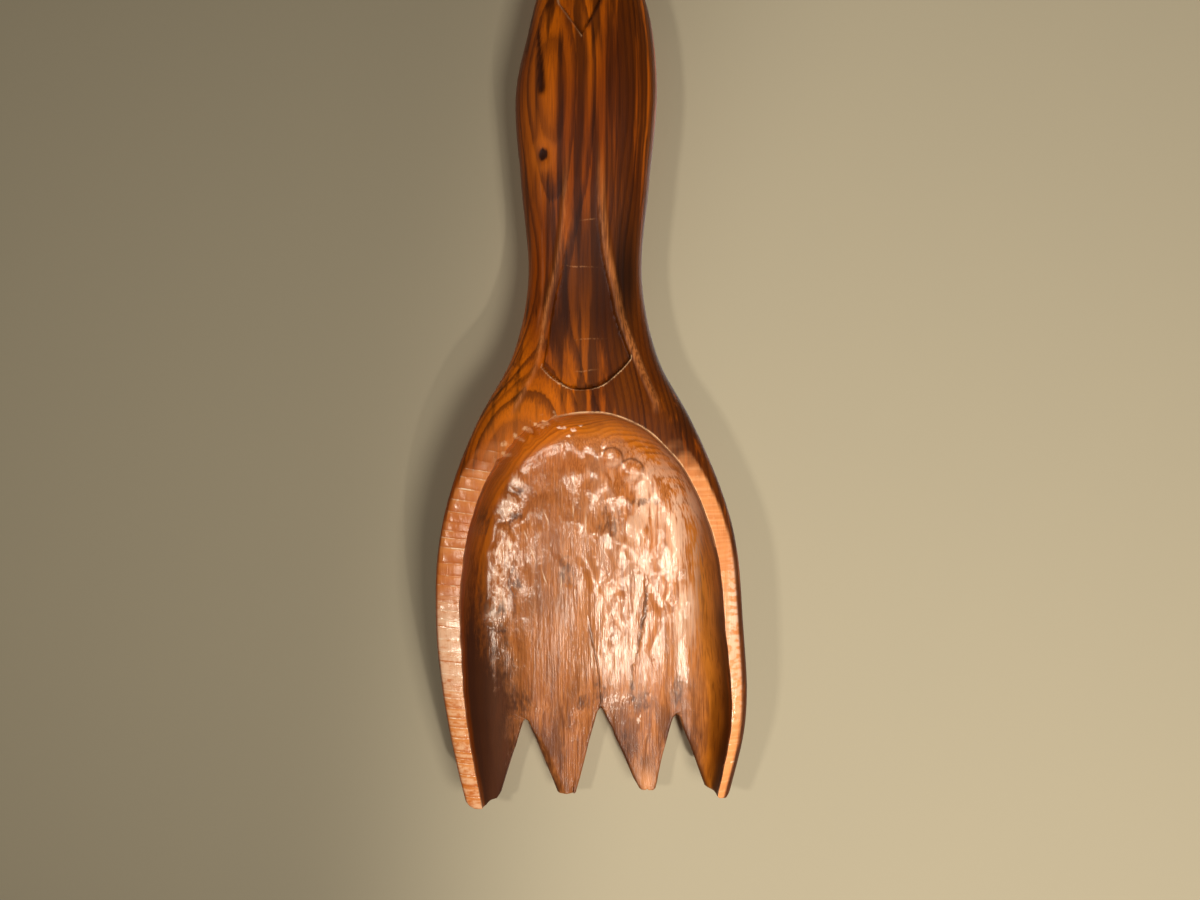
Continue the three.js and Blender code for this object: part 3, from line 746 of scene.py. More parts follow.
class Tree:
    """Adds nodes to a node tree by their type, their settings and the values or links of their sockets."""

    def __init__(self, tree):
        self.tree = tree

    def add(self, kind, settings=None, sockets=None, out=0):
        """A new node's output. A list links several wires to one socket."""
        node = self.tree.nodes.new(kind)
        for name, value in (settings or {}).items():
            if name == "stops":
                self.set_stops(node.color_ramp, value)
            elif name == "points":
                self.set_points(node.mapping, value)
            else:
                setattr(node, name, value)
        for key, value in (sockets or {}).items():
            for item in value if isinstance(value, list) else [value]:
                if isinstance(item, Wire):
                    self.tree.links.new(item.socket, node.inputs[key])
                else:
                    node.inputs[key].default_value = item
        return Wire(self, node.outputs[out]) if node.outputs else node

    @staticmethod
    def set_stops(ramp, stops):
        while len(ramp.elements) < len(stops):
            ramp.elements.new(0.5)
        for element, (place, level) in zip(ramp.elements, stops):
            element.position = place
            element.color = (level, level, level, 1)

    @staticmethod
    def set_points(mapping, points):
        line = mapping.curves[0]
        line.points[0].location, line.points[1].location = points[0], points[-1]
        for point in points[1:-1]:
            line.points.new(*point)
        mapping.update()

    def maths(self, operation, *values):
        return self.add("ShaderNodeMath", {"operation": operation}, dict(enumerate(values)))

    def stretched(self, vector, scale):
        """The vector with each of its parts multiplied by its own number."""
        return self.add("ShaderNodeVectorMath", {"operation": "MULTIPLY"}, {0: vector, 1: scale})

    def scaled(self, vector, factor):
        return self.add("ShaderNodeVectorMath", {"operation": "SCALE"}, {0: vector, "Scale": factor})

    def parts(self, vector):
        x = self.add("ShaderNodeSeparateXYZ", {}, {0: vector})
        return x, x.other("Y"), x.other("Z")

    def joined(self, x, y, z):
        return self.add("ShaderNodeCombineXYZ", {}, {0: x, 1: y, 2: z})

    def noise(self, vector, scale=1.0, detail=2.0, roughness=0.5):
        """Smooth unevenness. A scale of three numbers draws it out."""
        if isinstance(scale, tuple):
            vector, scale = self.stretched(vector, scale), 1.0
        sockets = {"Vector": vector, "Scale": scale, "Detail": detail, "Roughness": roughness}
        return self.add("ShaderNodeTexNoise", {}, sockets)

    def cells(self, place, randomness=1.0, dimensions="3D", feature="F1"):
        """Distance from the middle of the nearest cell, or from its border."""
        settings = {"voronoi_dimensions": dimensions, "feature": feature}
        sockets = {"W" if dimensions == "1D" else "Vector": place, "Scale": 1.0, "Randomness": randomness}
        return self.add("ShaderNodeTexVoronoi", settings, sockets)

    def traced(self, value, points):
        """A smooth curve through points, which takes a wire to its place on the curve."""
        low, high = np.min(points, axis=0), np.max(points, axis=0)
        shares = [tuple((np.array(point) - low) / (high - low)) for point in sorted(points)]
        along = (value - low[0]) / (high[0] - low[0])
        return self.add("ShaderNodeFloatCurve", {"points": shares}, {"Value": along}) * (high[1] - low[1]) + low[1]

    def mixed(self, share, first, second):
        """A mix of two colours."""
        return self.add("ShaderNodeMix", {"data_type": "RGBA"}, {0: share, 6: first, 7: second}, out=2)

    def bump(self, relief, strength=1.0, distance=MM):
        sockets = {"Strength": strength, "Distance": distance, "Height": relief}
        return self.add("ShaderNodeBump", {}, sockets)

    def named(self, name):
        """An attribute of the mesh, in a Geometry Nodes tree."""
        return self.add("GeometryNodeInputNamedAttribute", {"data_type": "FLOAT"}, {"Name": name})

    def mark(self, name):
        """An attribute of the mesh, in a material."""
        settings = {"attribute_name": name, "attribute_type": "GEOMETRY"}
        return self.add("ShaderNodeAttribute", settings, {}, out=2)


def colour(red, green, blue):
    """A colour from its levels on screen, from 0 to 255."""
    def light(level):
        share = level / 255
        return share / 12.92 if share <= 0.04045 else ((share + 0.055) / 1.055) ** 2.4

    return (light(red), light(green), light(blue), 1)


def hypotenuse(beside, above):
    """How far off a place is, from wires for the way across and the way up."""
    return (beside * beside + above * above) ** 0.5


def new_tree(name, inputs):
    """A Geometry Nodes tree with named inputs, and its Group Input wires by name."""
    group = bpy.data.node_groups.new(name, "GeometryNodeTree")
    group.interface.new_socket("Geometry", in_out="INPUT", socket_type="NodeSocketGeometry")
    group.interface.new_socket("Geometry", in_out="OUTPUT", socket_type="NodeSocketGeometry")
    for label, kind in inputs:
        group.interface.new_socket(label, in_out="INPUT", socket_type=kind)
    tree = Tree(group)
    entry = tree.add("NodeGroupInput").socket.node
    return tree, {output.name: Wire(tree, output) for output in entry.outputs if output.name}


def end_tree(tree, geometry, material):
    real = tree.add("GeometryNodeRealizeInstances", {}, {"Geometry": geometry})
    done = tree.add("GeometryNodeSetMaterial", {}, {"Geometry": real, "Material": material})
    tree.add("NodeGroupOutput", {}, {0: done})


def bake_modifiers(item):
    """Turns an object with its modifiers into a plain mesh."""
    evaluated = item.evaluated_get(bpy.context.evaluated_depsgraph_get())
    mesh = bpy.data.meshes.new_from_object(evaluated)
    item.modifiers.clear()
    old, item.data = item.data, mesh
    bpy.data.meshes.remove(old)


def apply_tree(item, tree, values):
    """Runs a tree on an object and keeps the result as a plain mesh."""
    modifier = item.modifiers.new(tree.tree.name, "NODES")
    modifier.node_group = tree.tree
    for socket in tree.tree.interface.items_tree:
        if socket.in_out == "INPUT" and socket.name in values:
            modifier[socket.identifier] = values[socket.name]
    bake_modifiers(item)


def new_material(name):
    material = bpy.data.materials.new(name)
    material.use_nodes = True
    material.node_tree.nodes.clear()
    return material, Tree(material.node_tree)


def end_material(tree, shader):
    tree.add("ShaderNodeOutputMaterial", {}, {"Surface": shader})


def millimetres(tree):
    """The place on the piece, in a material."""
    place = tree.add("ShaderNodeTexCoord", {}, {}, out=3)
    return tree.stretched(place, (1 / MM,) * 3)


# Finishes

PITH = (-30, -60)  # place across and depth of the middle of the log
RING_SPACING = 2.6
LATE_WOOD = ((0, 0.3), (0.08, 0.0), (0.45, 0.1), (0.72, 0.85), (0.93, 1.0), (1, 0.3))  # darkness across a year ring
# Lines in the hollow, as heights and places across: a crevice, and the crack up from the middle gap.
CREVICE = ((51, 19.6), (60, 20.5), (69.5, 22.9), (77, 24.3), (91.4, 26.7), (106, 27.2))
CRACK = ((43, 6.3), (51.4, 6.2), (60, 5.3), (74.3, 2.4), (86, 0.5))
# The line of the painted highlight along a facet edge: heights and places across.
FACET_EDGE = ((205, -23), (215, -20.7), (232, -19), (262, -19.6), (285, -20.3))  # left of the left ridge
# Short nicks where a cut stopped, each with a painted highlight: place across, height, length, and lean to the right
# on the way down.
NICKS = (
    (-18.1, 129, 9, 0.45), (-27.6, 121, 5, 0.4), (-24.3, 112.4, 9, 0.38), (-19, 102, 10, 0.33),
    (-5.8, 144, 10, 0.05), (-6.2, 132.4, 8, 0), (-0.4, 125, 14, 0.02), (-11.4, 100, 9, -0.05),
    (30, 131, 8, 0.2), (36, 112, 9, 0.1), (2.5, 66, 16, 0.12),
)
# Pale knife scratches across the panel: place across, height, length and rise to the right.
SCRATCHES = ((1.2, 259, 7, 0.15), (-3, 239, 15, -0.02), (0.6, 207.3, 12.6, 0.03), (-0.5, 193.5, 10.4, 0.06))
# Dark stains and bright glints in the hollow: place across, height, half width and half height.
STAINS = (
    (10.5, 126, 6, 9), (25, 136, 9, 2.5), (-31.7, 99.4, 3, 5), (-9.5, 105, 4, 8), (-39, 87, 2.5, 5),
    (-46, 128, 3, 8), (41, 50, 3.5, 10), (20, 50, 2, 6), (-2, 46, 4, 4), (6.4, 50, 4, 8), (25, 46, 5, 5),
    (-29, 45, 5, 6), (17, 27, 3, 8), (-31, 141, 4, 2), (-32, 129.5, 4.5, 2),
)
GLINTS = (
    (-11, 169.4, 2.4, 0.8), (-5.8, 168.4, 1.8, 1), (-8, 165.6, 1.4, 0.6), (-2.5, 170.4, 1.2, 0.6),
    (23.7, 37.5, 1.2, 2.4),
)


class Coats:
    """Colours laid over each other."""

    def __init__(self, tree, share, first, second):
        self.tree, self.colour = tree, tree.mixed(share, first, second)

    def add(self, share, tint):
        self.colour = self.tree.mixed(share, self.colour, tint)


class BareWood:
    """What the coats follow: places in millimetres, the marks of the carving, unevenness and grain."""

    def __init__(self, tree):
        self.tree = tree
        self.place = millimetres(tree)
        self.x, y, z = tree.parts(self.place)
        self.depth, self.height = y + HANG_DEPTH, z + HANG_HEIGHT
        self.front = 1 - self.depth.within(-2, 4)
        self.marks = {name: tree.mark(name) for name in MARKS}
        self.tone = tree.noise(self.place, (1 / 24, 1 / 24, 1 / 110))
        self.blotch = tree.noise(self.place, (1 / 9, 1 / 9, 1 / 24), 4.0, 0.6)
        self.grit = tree.noise(self.place, (0.6, 0.6, 0.25), 3.0, 0.6)
        self.striped = tree.noise(self.place, (0.8, 0.8, 0.06), 2.0, 0.55)
        self.pores = tree.noise(self.place, (2.6, 2.6, 0.12), 2.0, 0.6)
        self.broken = tree.noise(self.place, (0.28, 0.28, 0.5))
        self.kerf = tree.noise(self.place, (0.05, 0.05, 1.1))
        self.fibre = tree.noise(self.place, (1.6, 1.6, 0.045), 3.0, 0.6)
        self.late, self.streak = self.year_rings(), self.dark_streaks()
        in_hollow = self.marks["in_hollow"]
        self.hollow = in_hollow.within(0, 1.5)
        self.floor = (in_hollow + (self.blotch - 0.5) * 5).within(6, 12.5)

    def year_rings(self):
        """The dark late wood of the rings about the middle of the log."""
        tree = self.tree
        sway_x = (tree.noise(self.place, (1 / 34, 1 / 34, 1 / 210)) - 0.5) * 22
        sway_y = (tree.noise(self.place, (1 / 45, 1 / 45, -1 / 160), 1.0) - 0.5) * 18
        radius = hypotenuse(self.x - PITH[0] + sway_x, self.depth - PITH[1] + sway_y)
        rings = radius / RING_SPACING + (self.fibre - 0.5) * 0.4
        strength = tree.add("ShaderNodeTexWhiteNoise", {"noise_dimensions": "1D"}, {"W": rings.math("FLOOR")})
        late = tree.add("ShaderNodeValToRGB", {"stops": LATE_WOOD}, {"Fac": rings.math("FRACT")})
        return late * (strength * 0.7 + 0.3)

    def dark_streaks(self):
        """Long dark streaks, more of them on the right and on the neck."""
        neck = (self.height - 222).near(34)
        streak = self.tree.noise(self.place, (0.22, 0.22, 0.0055), 3.0, 0.55)
        return (streak + self.x.within(-16, 22) * 0.2 + self.x.within(9, 18) * neck * 0.3).within(0.5, 0.66)

    def patch(self, middle, level, half, high):
        """1 at a place on the front, falling off smoothly over a width and a height."""
        return (self.x - middle).near(half) * (self.height - level).near(high)

    def spots(self, table, ragged):
        """1 inside the ovals of a table, with ragged edges, and only in the hollow."""
        total = 0.0
        for middle, level, half, high in table:
            over, up = (self.x - middle) / half, (self.height - level) / high
            total = total + (1 - over * over - up * up + (self.grit - 0.5) * ragged).within(0, 1.4)
        return total.capped() * self.hollow


def coat_plank(bare):
    """Stain over the grain of the whole plank, with a painted sheen on the left flank, a painted highlight line along
    a facet edge, and painted shade on the right of the neck, the right shoulder and the right side of the head.
    """
    x, height, late, blotch = bare.x, bare.height, bare.late, bare.blotch
    coats = Coats(bare.tree, bare.tone.within(0.36, 0.62), colour(146, 62, 0), colour(204, 98, 2))
    coats.add(bare.fibre.within(0.4, 0.75) * 0.35, colour(84, 34, 3))
    coats.add(late * (0.85 - bare.hollow * 0.4), colour(66, 24, 3))
    coats.add(bare.streak * (0.75 - bare.hollow * 0.45), colour(38, 13, 2))
    brow = bare.patch(-28, 163, 18, 20)
    coats.add(brow * (0.5 - late * 0.3), colour(222, 116, 10))
    # painted sheen: the left flank of the handle paler and pinker, as a broad reflection of light from the left
    left_flank_sheen = (1 - x.within(-24, -15)) * height.within(235, 262)
    coats.add(left_flank_sheen * 0.45, colour(92, 46, 24))
    # painted highlight: a light line along a facet edge on the left flank
    facet_edge_highlight = (x - bare.tree.traced(height, FACET_EDGE)).near(0.5) * bare.front
    facet_edge_highlight = facet_edge_highlight * height.between(206, 222, 264, 284) * blotch.within(0.35, 0.65)
    coats.add(facet_edge_highlight * 0.5, colour(176, 104, 60))
    shaded = x.between(10.5, 14, 19, 24) * (height - 234).near(30) * 0.9 + bare.patch(42, 170, 10, 14) * 0.5
    coats.add(shaded, colour(34, 14, 3))
    # painted shade on the right side of the head, which turns away from the light
    right_flank_shade = x.within(52, 61) * (1 - height.within(135, 170)) * bare.front
    coats.add(right_flank_shade * (0.35 + blotch.within(0.3, 0.6) * 0.3), colour(48, 18, 8))
    return coats


def coat_handle(bare, coats):
    """The tongue panel with its ridges and scratches, and the knot."""
    x, height, fibre, blotch, panel = bare.x, bare.height, bare.fibre, bare.blotch, bare.marks["panel"]
    coats.add(panel * (0.1 + height.within(192, 222) * 0.6), colour(46, 16, 0))
    crumbled = (0.2 + fibre.within(0.65, 0.35) * 0.6) * (0.55 + blotch.within(0.42, 0.56) * 0.45)
    coats.add(bare.marks["ridge"] * crumbled, colour(200, 118, 58))
    scratches = 0.0
    for middle, level, length, rise in SCRATCHES:
        beside, above = x - middle, height - level + (blotch - 0.5) * 2.5
        scratches = scratches + (above - beside * rise).near(0.28) * beside.near(length / 3)
    coats.add(scratches * panel * bare.grit.within(0.35, 0.6) * 0.45, colour(222, 150, 92))
    rubbed = bare.patch(0, 198, 6.5, 9) * panel
    coats.add(rubbed * 0.35, colour(78, 44, 24))
    from_knot = hypotenuse(x - KNOT_PLACE, (height - KNOT_HEIGHT) / 1.5) + (fibre - 0.5) * 1.5
    coats.add((from_knot - 4).near(1.6) * bare.front * 0.35, colour(206, 104, 20))
    heart = 1 - from_knot.within(KNOT_RADIUS * 0.55, KNOT_RADIUS)
    coats.add(heart * bare.front * 0.95, colour(28, 7, 2))


def coat_walls(bare, coats):
    """Amber varnish on the walls of the hollow, with painted light on the right wall and painted shade under the
    hollow's edge.
    """
    x, height, in_hollow = bare.x, bare.height, bare.marks["in_hollow"]
    amber = Coats(bare.tree, bare.late * 0.8, colour(194, 108, 22), colour(104, 44, 2))
    # painted light: the right wall of the hollow paler where the light falls on it
    amber.add(x.within(36, 56) * (height - 98).near(32) * 0.85, colour(252, 160, 62))
    amber.add(bare.blotch.within(0.45, 0.7) * 0.5, colour(122, 56, 6))
    # painted shade: darker within 6 mm under the hollow's edge
    amber.add((1 - in_hollow.within(0, 6)) * 0.5, colour(96, 40, 2))
    amber.add(bare.striped.within(0.5, 0.66) * x.within(34, 46) * 0.5, colour(98, 46, 8))
    # painted shadow: a dark line along the low inner edge of the right rim
    shadow_by_rim = (1 - in_hollow.within(1, 4)) * x.within(40, 50) * (1 - height.within(84, 104))
    amber.add(shadow_by_rim * 0.75, colour(52, 22, 4))
    coats.add(bare.hollow * (0.5 + 0.4 * x.within(-20, 10)), amber.colour)


def coat_floor(bare, coats):
    """Copper brown on the floor of the hollow, with a painted highlight wash, painted highlights on the swellings and
    painted shade in the creases. Returns its calm middle, its painted highlight wash and the creases in it.
    """
    x, height, striped, blotch = bare.x, bare.height, bare.striped, bare.blotch
    copper = Coats(bare.tree, bare.fibre.within(0.3, 0.7), colour(142, 76, 30), colour(192, 116, 58))
    copper.add(bare.late * 0.3, colour(128, 66, 24))
    copper.add(blotch.within(0.5, 0.7) * 0.35, colour(120, 76, 44))
    calm = (x + 16.5).near(12) * height.between(42, 62, 132, 150)
    copper.add(calm * (0.1 + striped.within(0.4, 0.65) * 0.4), colour(122, 66, 26))
    coats.add(bare.floor * 0.9, copper.colour)

    # painted highlight: a pale streaky wash where the floor and the right wall catch the light
    sunlit = bare.patch(27, 136, 19, 20) + x.between(35, 41, 47, 53) * (height - 105).near(34)
    sunlit = (sunlit + bare.patch(24, 58, 14, 9) * 0.6).capped()
    highlight_wash = sunlit * (striped * 0.5 + blotch * 0.6).within(0.46, 0.62) * bare.hollow
    coats.add(highlight_wash * 0.6, colour(255, 206, 166))

    sheltered = (1 - x.within(-34, -26)) * bare.floor
    swell = bare.marks["swell"] + (blotch - 0.5) * 1.2
    # painted highlights on the tops of the swellings
    dome_highlight = (swell + (bare.grit - 0.5) * 3.5).within(0.5, 1.1)
    coats.add(dome_highlight * sheltered * 0.5, colour(250, 200, 160))
    # painted shade in the creases round the swellings
    crease = (swell + (bare.grit - 0.5) * 1.2 + 0.1).near(0.2) * sheltered * blotch.within(0.42, 0.58)
    coats.add(crease * 0.75, colour(62, 32, 18))
    return calm, highlight_wash, crease


def coat_rim(bare, coats):
    """Pale planed wood on the rim, with painted light and shade across the knife facets and painted highlights on
    them. Returns the distance from a knife mark's border, and where it is polished and painted highlit.
    """
    tree, x, height, broken, rim_run = bare.tree, bare.x, bare.height, bare.broken, bare.marks["rim_run"]
    steps = rim_run / CHATTER_STEP
    cell = tree.cells(steps, 1.0, "1D")
    slope, shade = steps - cell.other("W"), tree.parts(cell.other("Color"))[0]
    border = tree.cells(steps, 1.0, "1D", "DISTANCE_TO_EDGE")
    fine = tree.noise(tree.joined(0.0, 0.0, rim_run * 1.4)).within(0.45, 0.7)
    right = x.within(0, 20)
    polished_and_highlit = (1 - x.within(-40, -20)) * height.between(44, 66, 84, 104)

    # painted light and shade across each knife facet, and each facet's own tone
    facet_shading_and_tone = (slope * 0.35 + shade * 0.4) * (1 - right * 0.6) + bare.tone * 0.8 + (broken - 0.5) * 0.5
    planed = Coats(tree, facet_shading_and_tone.within(0.1, 1.0), colour(196, 102, 38), colour(234, 146, 74))
    # painted highlights on the scallops of the lower left rim
    scallop_highlight = border.within(0.1, 0.36) * (1 - right) * (1 - height.within(48, 70)) * broken.within(0.3, 0.6)
    planed.add(scallop_highlight * 0.55, colour(255, 206, 156))
    planed.add(right * (0.25 + fine * 0.35), colour(246, 172, 112))
    # painted highlight along the right rim's outer edge
    rim_edge_highlight = x.within(59, 62.5) * (height - 92).near(20) * broken.within(0.4, 0.56)
    rim_edge_highlight = rim_edge_highlight + right * (height - 60).near(16) * broken.within(0.42, 0.6) * 0.5
    planed.add(rim_edge_highlight * 0.6, colour(255, 214, 180))
    # painted highlight: the polished zone of the left rim pale and pinkish-white
    planed.add(polished_and_highlit * (broken - fine * 0.3).within(0.1, 0.5) * 0.7, colour(255, 208, 166))
    planed.add(bare.fibre.within(0.5, 0.75) * 0.3, colour(186, 96, 40))
    # painted highlights: thin bright lines between the knife facets
    lines = (1 - border.within(0.02, 0.09)) * (shade * 0.9 + broken * 1.8 - right * 0.5).within(1.15, 1.6)
    planed.add(lines * (0.25 + bare.grit.within(0.42, 0.6) * 0.6), colour(255, 226, 184))
    coats.add(bare.marks["rim"] * 0.92, planed.colour)

    # painted highlights along the carved edges, broken up in places, with the pale chips
    worn = (bare.grit + bare.blotch).within(0.8, 1.15)
    coats.add(bare.marks["arris"].within(0.2, 0.95) * (0.2 + worn * 0.65), colour(246, 190, 134))
    return border, polished_and_highlit


def coat_stains(bare, coats):
    """Darkening towards the lower left, painted shade under the left rim and beside the gaps, dark ends, stains and
    painted glints in the hollow. Returns the lower-left darkening, the stains and the glints.
    """
    x, height, blotch, floor = bare.x, bare.height, bare.blotch, bare.floor
    # darker towards the lower left of the hollow
    left_low = (1 - x.within(-58, -16)) * (1 - height.within(50, 150))
    left_low = left_low + (1 - x.within(-46, -19)) * (1 - height.within(24, 92)) * 0.7
    lower_left_dark = (left_low + blotch * 0.9 + (bare.grit - 0.5) * 0.9).within(0.6, 1.5)
    lower_left_dark = lower_left_dark * bare.hollow * x.math("LESS_THAN", 0.0)
    coats.add(lower_left_dark * 0.93, colour(56, 29, 13))
    # painted shade under the left rim
    shade_under_rim = (1 - bare.marks["in_hollow"].within(1, 14)) * bare.hollow * (1 - x.within(-40, -20))
    coats.add(shade_under_rim * 0.5, colour(62, 26, 6))
    low_streaks = bare.striped.within(0.52, 0.66) * (1 - height.within(48, 84)) * floor
    coats.add(low_streaks * 0.4, colour(84, 42, 18))
    worn_ends = (1 - height.within(20, 72)) * floor * (0.3 + 0.7 * blotch.within(0.44, 0.64))
    coats.add(worn_ends * 0.75, colour(82, 40, 16))
    bare_tip = bare.patch(TINES[2].middle, 9, 6, 7) * floor * blotch.within(0.3, 0.5)
    coats.add(bare_tip * 0.6, colour(232, 152, 92))
    # painted shade on the tines' flanks beside the gaps, over darker wood
    tine_edge = bare.marks["tine_edge"] * (0.35 + blotch.within(0.4, 0.6) * 0.5)
    coats.add(tine_edge, colour(62, 28, 10))
    stains, glints = bare.spots(STAINS, 4), bare.spots(GLINTS, 5)
    coats.add(stains * 0.7, colour(70, 38, 20))
    coats.add(glints * 0.9, colour(255, 222, 190))
    return lower_left_dark, stains, glints


def coat_cuts(bare, coats):
    """The edges of single cuts, with painted shade and highlight in the dishes and painted highlights on the nicks.
    Returns the crevice, the crack and the ledge beside the crack.
    """
    tree, x, height, hollow = bare.tree, bare.x, bare.height, bare.hollow
    for middle, level, radius in DISHES:
        over, up = (x - middle) / radius, (height - level) / radius
        out = hypotenuse(over, up) + (bare.blotch - 0.5) * 0.5
        # painted shade on the upper edge of each dish, and a painted highlight inside its lower part
        shade_arc = (out - 0.95).near(0.13) * (up + over * 0.3).within(-0.2, 0.6) * hollow
        highlight_arc = (out - 0.6).near(0.3) * (over * 0.4 - up).within(0, 0.8) * hollow
        coats.add(shade_arc * 0.7, colour(84, 42, 20))
        coats.add(highlight_arc * 0.4, colour(255, 210, 170))
    # painted highlights on the nicks
    nick_highlights = 0.0
    for middle, level, length, lean in NICKS:
        beside, above = x - middle + (bare.grit - 0.5) * 1.5, height - level
        nick_highlights = nick_highlights + (beside + above * lean).near(0.3) * (above - beside * lean).near(length / 3)
    coats.add(nick_highlights * bare.floor * 0.6, colour(255, 220, 180))

    ragged = (tree.noise(bare.place, 0.35) - 0.5) * 2.2
    beside_crevice = x - tree.traced(height, CREVICE) + ragged
    crevice = beside_crevice.near(0.8) * height.between(50, 58, 98, 107) * hollow * bare.blotch.within(0.36, 0.56)
    beside_crack = x - tree.traced(height, CRACK) + ragged * 0.4
    crack = beside_crack.near(0.45) * (1 - height.within(76, 87)) * hollow
    ledge = beside_crack.within(-0.6, 0.6) * beside_crack.near(7) * (1 - height.within(72, 90)) * bare.floor
    # the dark slit, crevice and crack, with the painted shadow in the right arm of the leaf's point
    cut = (bare.marks["cut"] + crevice * 0.8 + crack * 0.6).capped()
    coats.add(cut * 0.9, colour(36, 13, 6))
    return crevice, crack, ledge


def carved_wood():
    """Oiled dark wood. The hollow and its rim are cut paler, and burnished."""
    material, tree = new_material("carved_wood")
    bare = BareWood(tree)
    coats = coat_plank(bare)
    coat_handle(bare, coats)
    coat_walls(bare, coats)
    calm, highlight_wash, crease = coat_floor(bare, coats)
    border, polished_and_highlit = coat_rim(bare, coats)
    lower_left_dark, stains, glints = coat_stains(bare, coats)
    crevice, crack, ledge = coat_cuts(bare, coats)
    sawn, rim, in_hollow = (bare.marks[name] for name in ("sawn", "rim", "in_hollow"))
    x, height, floor, fibre, grit, striped = bare.x, bare.height, bare.floor, bare.fibre, bare.grit, bare.striped
    coats.add(sawn * 0.6, tree.mixed(bare.kerf.within(0.3, 0.7), colour(112, 64, 28), colour(150, 92, 46)))

    relief = fibre * 0.08 + bare.pores * 0.05 + bare.late * 0.06 * (1 - bare.hollow) + bare.kerf * sawn * 0.2
    relief = relief + floor * (striped * 0.22 + grit * (0.3 - x.within(-36, -14) * 0.12) + fibre * 0.06)
    relief = relief - border.within(0, 0.16) * rim * (0.08 - x.within(0, 20) * 0.06)
    bump = tree.bump(relief - crevice * 0.7 - crack * 0.3 - ledge * 0.5)
    oiled = tree.add("ShaderNodeBsdfPrincipled", {}, {
        "Base Color": coats.colour,
        "Roughness": 0.42 + (fibre - 0.5) * 0.2 + sawn * 0.4 + lower_left_dark * 0.4,
        "Specular IOR Level": 0.15,
        "Normal": bump,
    })
    burnished = tree.add("ShaderNodeBsdfPrincipled", {}, {
        "Base Color": coats.colour,
        "Roughness": 0.18 + (grit - 0.5) * 0.15,
        "Specular IOR Level": 1.0,
        "Specular Tint": colour(255, 244, 224),
        "Normal": bump,
    })

    dull = calm * 0.75 + bare.patch(-19, 155, 11, 7) * 0.6
    rubbed = 0.1 + 0.9 * (height + (bare.blotch - 0.5) * 40).within(44, 68)
    gloss = floor * rubbed * (1 - lower_left_dark) * (1 - dull) * (1 - stains * 0.6) * (1 - crease * 0.7)
    gloss = gloss + rim * (0.3 + polished_and_highlit * 0.55 - height.within(118, 150) * 0.2) + glints + highlight_wash * 0.3
    right_wall = in_hollow.within(3, 9) * x.within(36, 46) * (height - 96).near(30)
    gloss = gloss + right_wall * striped.within(0.4, 0.6) * 0.6
    end_material(tree, tree.add("ShaderNodeMixShader", {}, {0: gloss.capped(), 1: oiled, 2: burnished}))
    return material


def steel(name, bright, tarnished):
    """Plated steel with a faint brushed grain and dull spots."""
    material, tree = new_material(name)
    place = millimetres(tree)
    tarnish = tree.noise(place, 0.35, 4.0, 0.65)
    grain = tree.noise(place, (2.2, 2.2, 0.18), 3.0)
    end_material(tree, tree.add("ShaderNodeBsdfPrincipled", {}, {
        "Base Color": tree.mixed(tarnish.within(0.45, 0.7), bright, tarnished),
        "Metallic": 1.0,
        "Roughness": 0.28 + tarnish.within(0.4, 0.7) * 0.2 + (grain - 0.5) * 0.15,
        "Normal": tree.bump(grain + tarnish * 0.5, 0.25, 0.1 * MM),
    }))
    return material


def pressed_felt():
    material, tree = new_material("felt")
    place = millimetres(tree)
    fluff = tree.noise(place, 1.4, 5.0, 0.7)
    tangle = tree.cells(tree.stretched(place, (1.3, 1.3, 1.3)))
    end_material(tree, tree.add("ShaderNodeBsdfPrincipled", {}, {
        "Base Color": tree.mixed(fluff.within(0.3, 0.7), colour(58, 44, 34), colour(98, 78, 60)),
        "Roughness": 0.95,
        "Sheen Weight": 0.4,
        "Normal": tree.bump(fluff + tangle * 0.5, 0.8, 0.5 * MM),
    }))
    return material


# Tool marks on the body, in millimetres

TOOL_MARKS = {
    "Lump Size": 11.0,
    "Lump Height": 1.2,
    "Gouge Width": 7.0,
    "Gouge Depth": 0.9,
    "Furrow Width": 11.0,
    "Furrow Depth": 0.4,
    "Chatter Step": CHATTER_STEP,
    "Chatter Depth": 0.13,
    "Facet Width": 13.0,
    "Facet Depth": 0.25,
}
BODY_SHARP = 42  # edges with more than this many degrees between their faces stay sharp


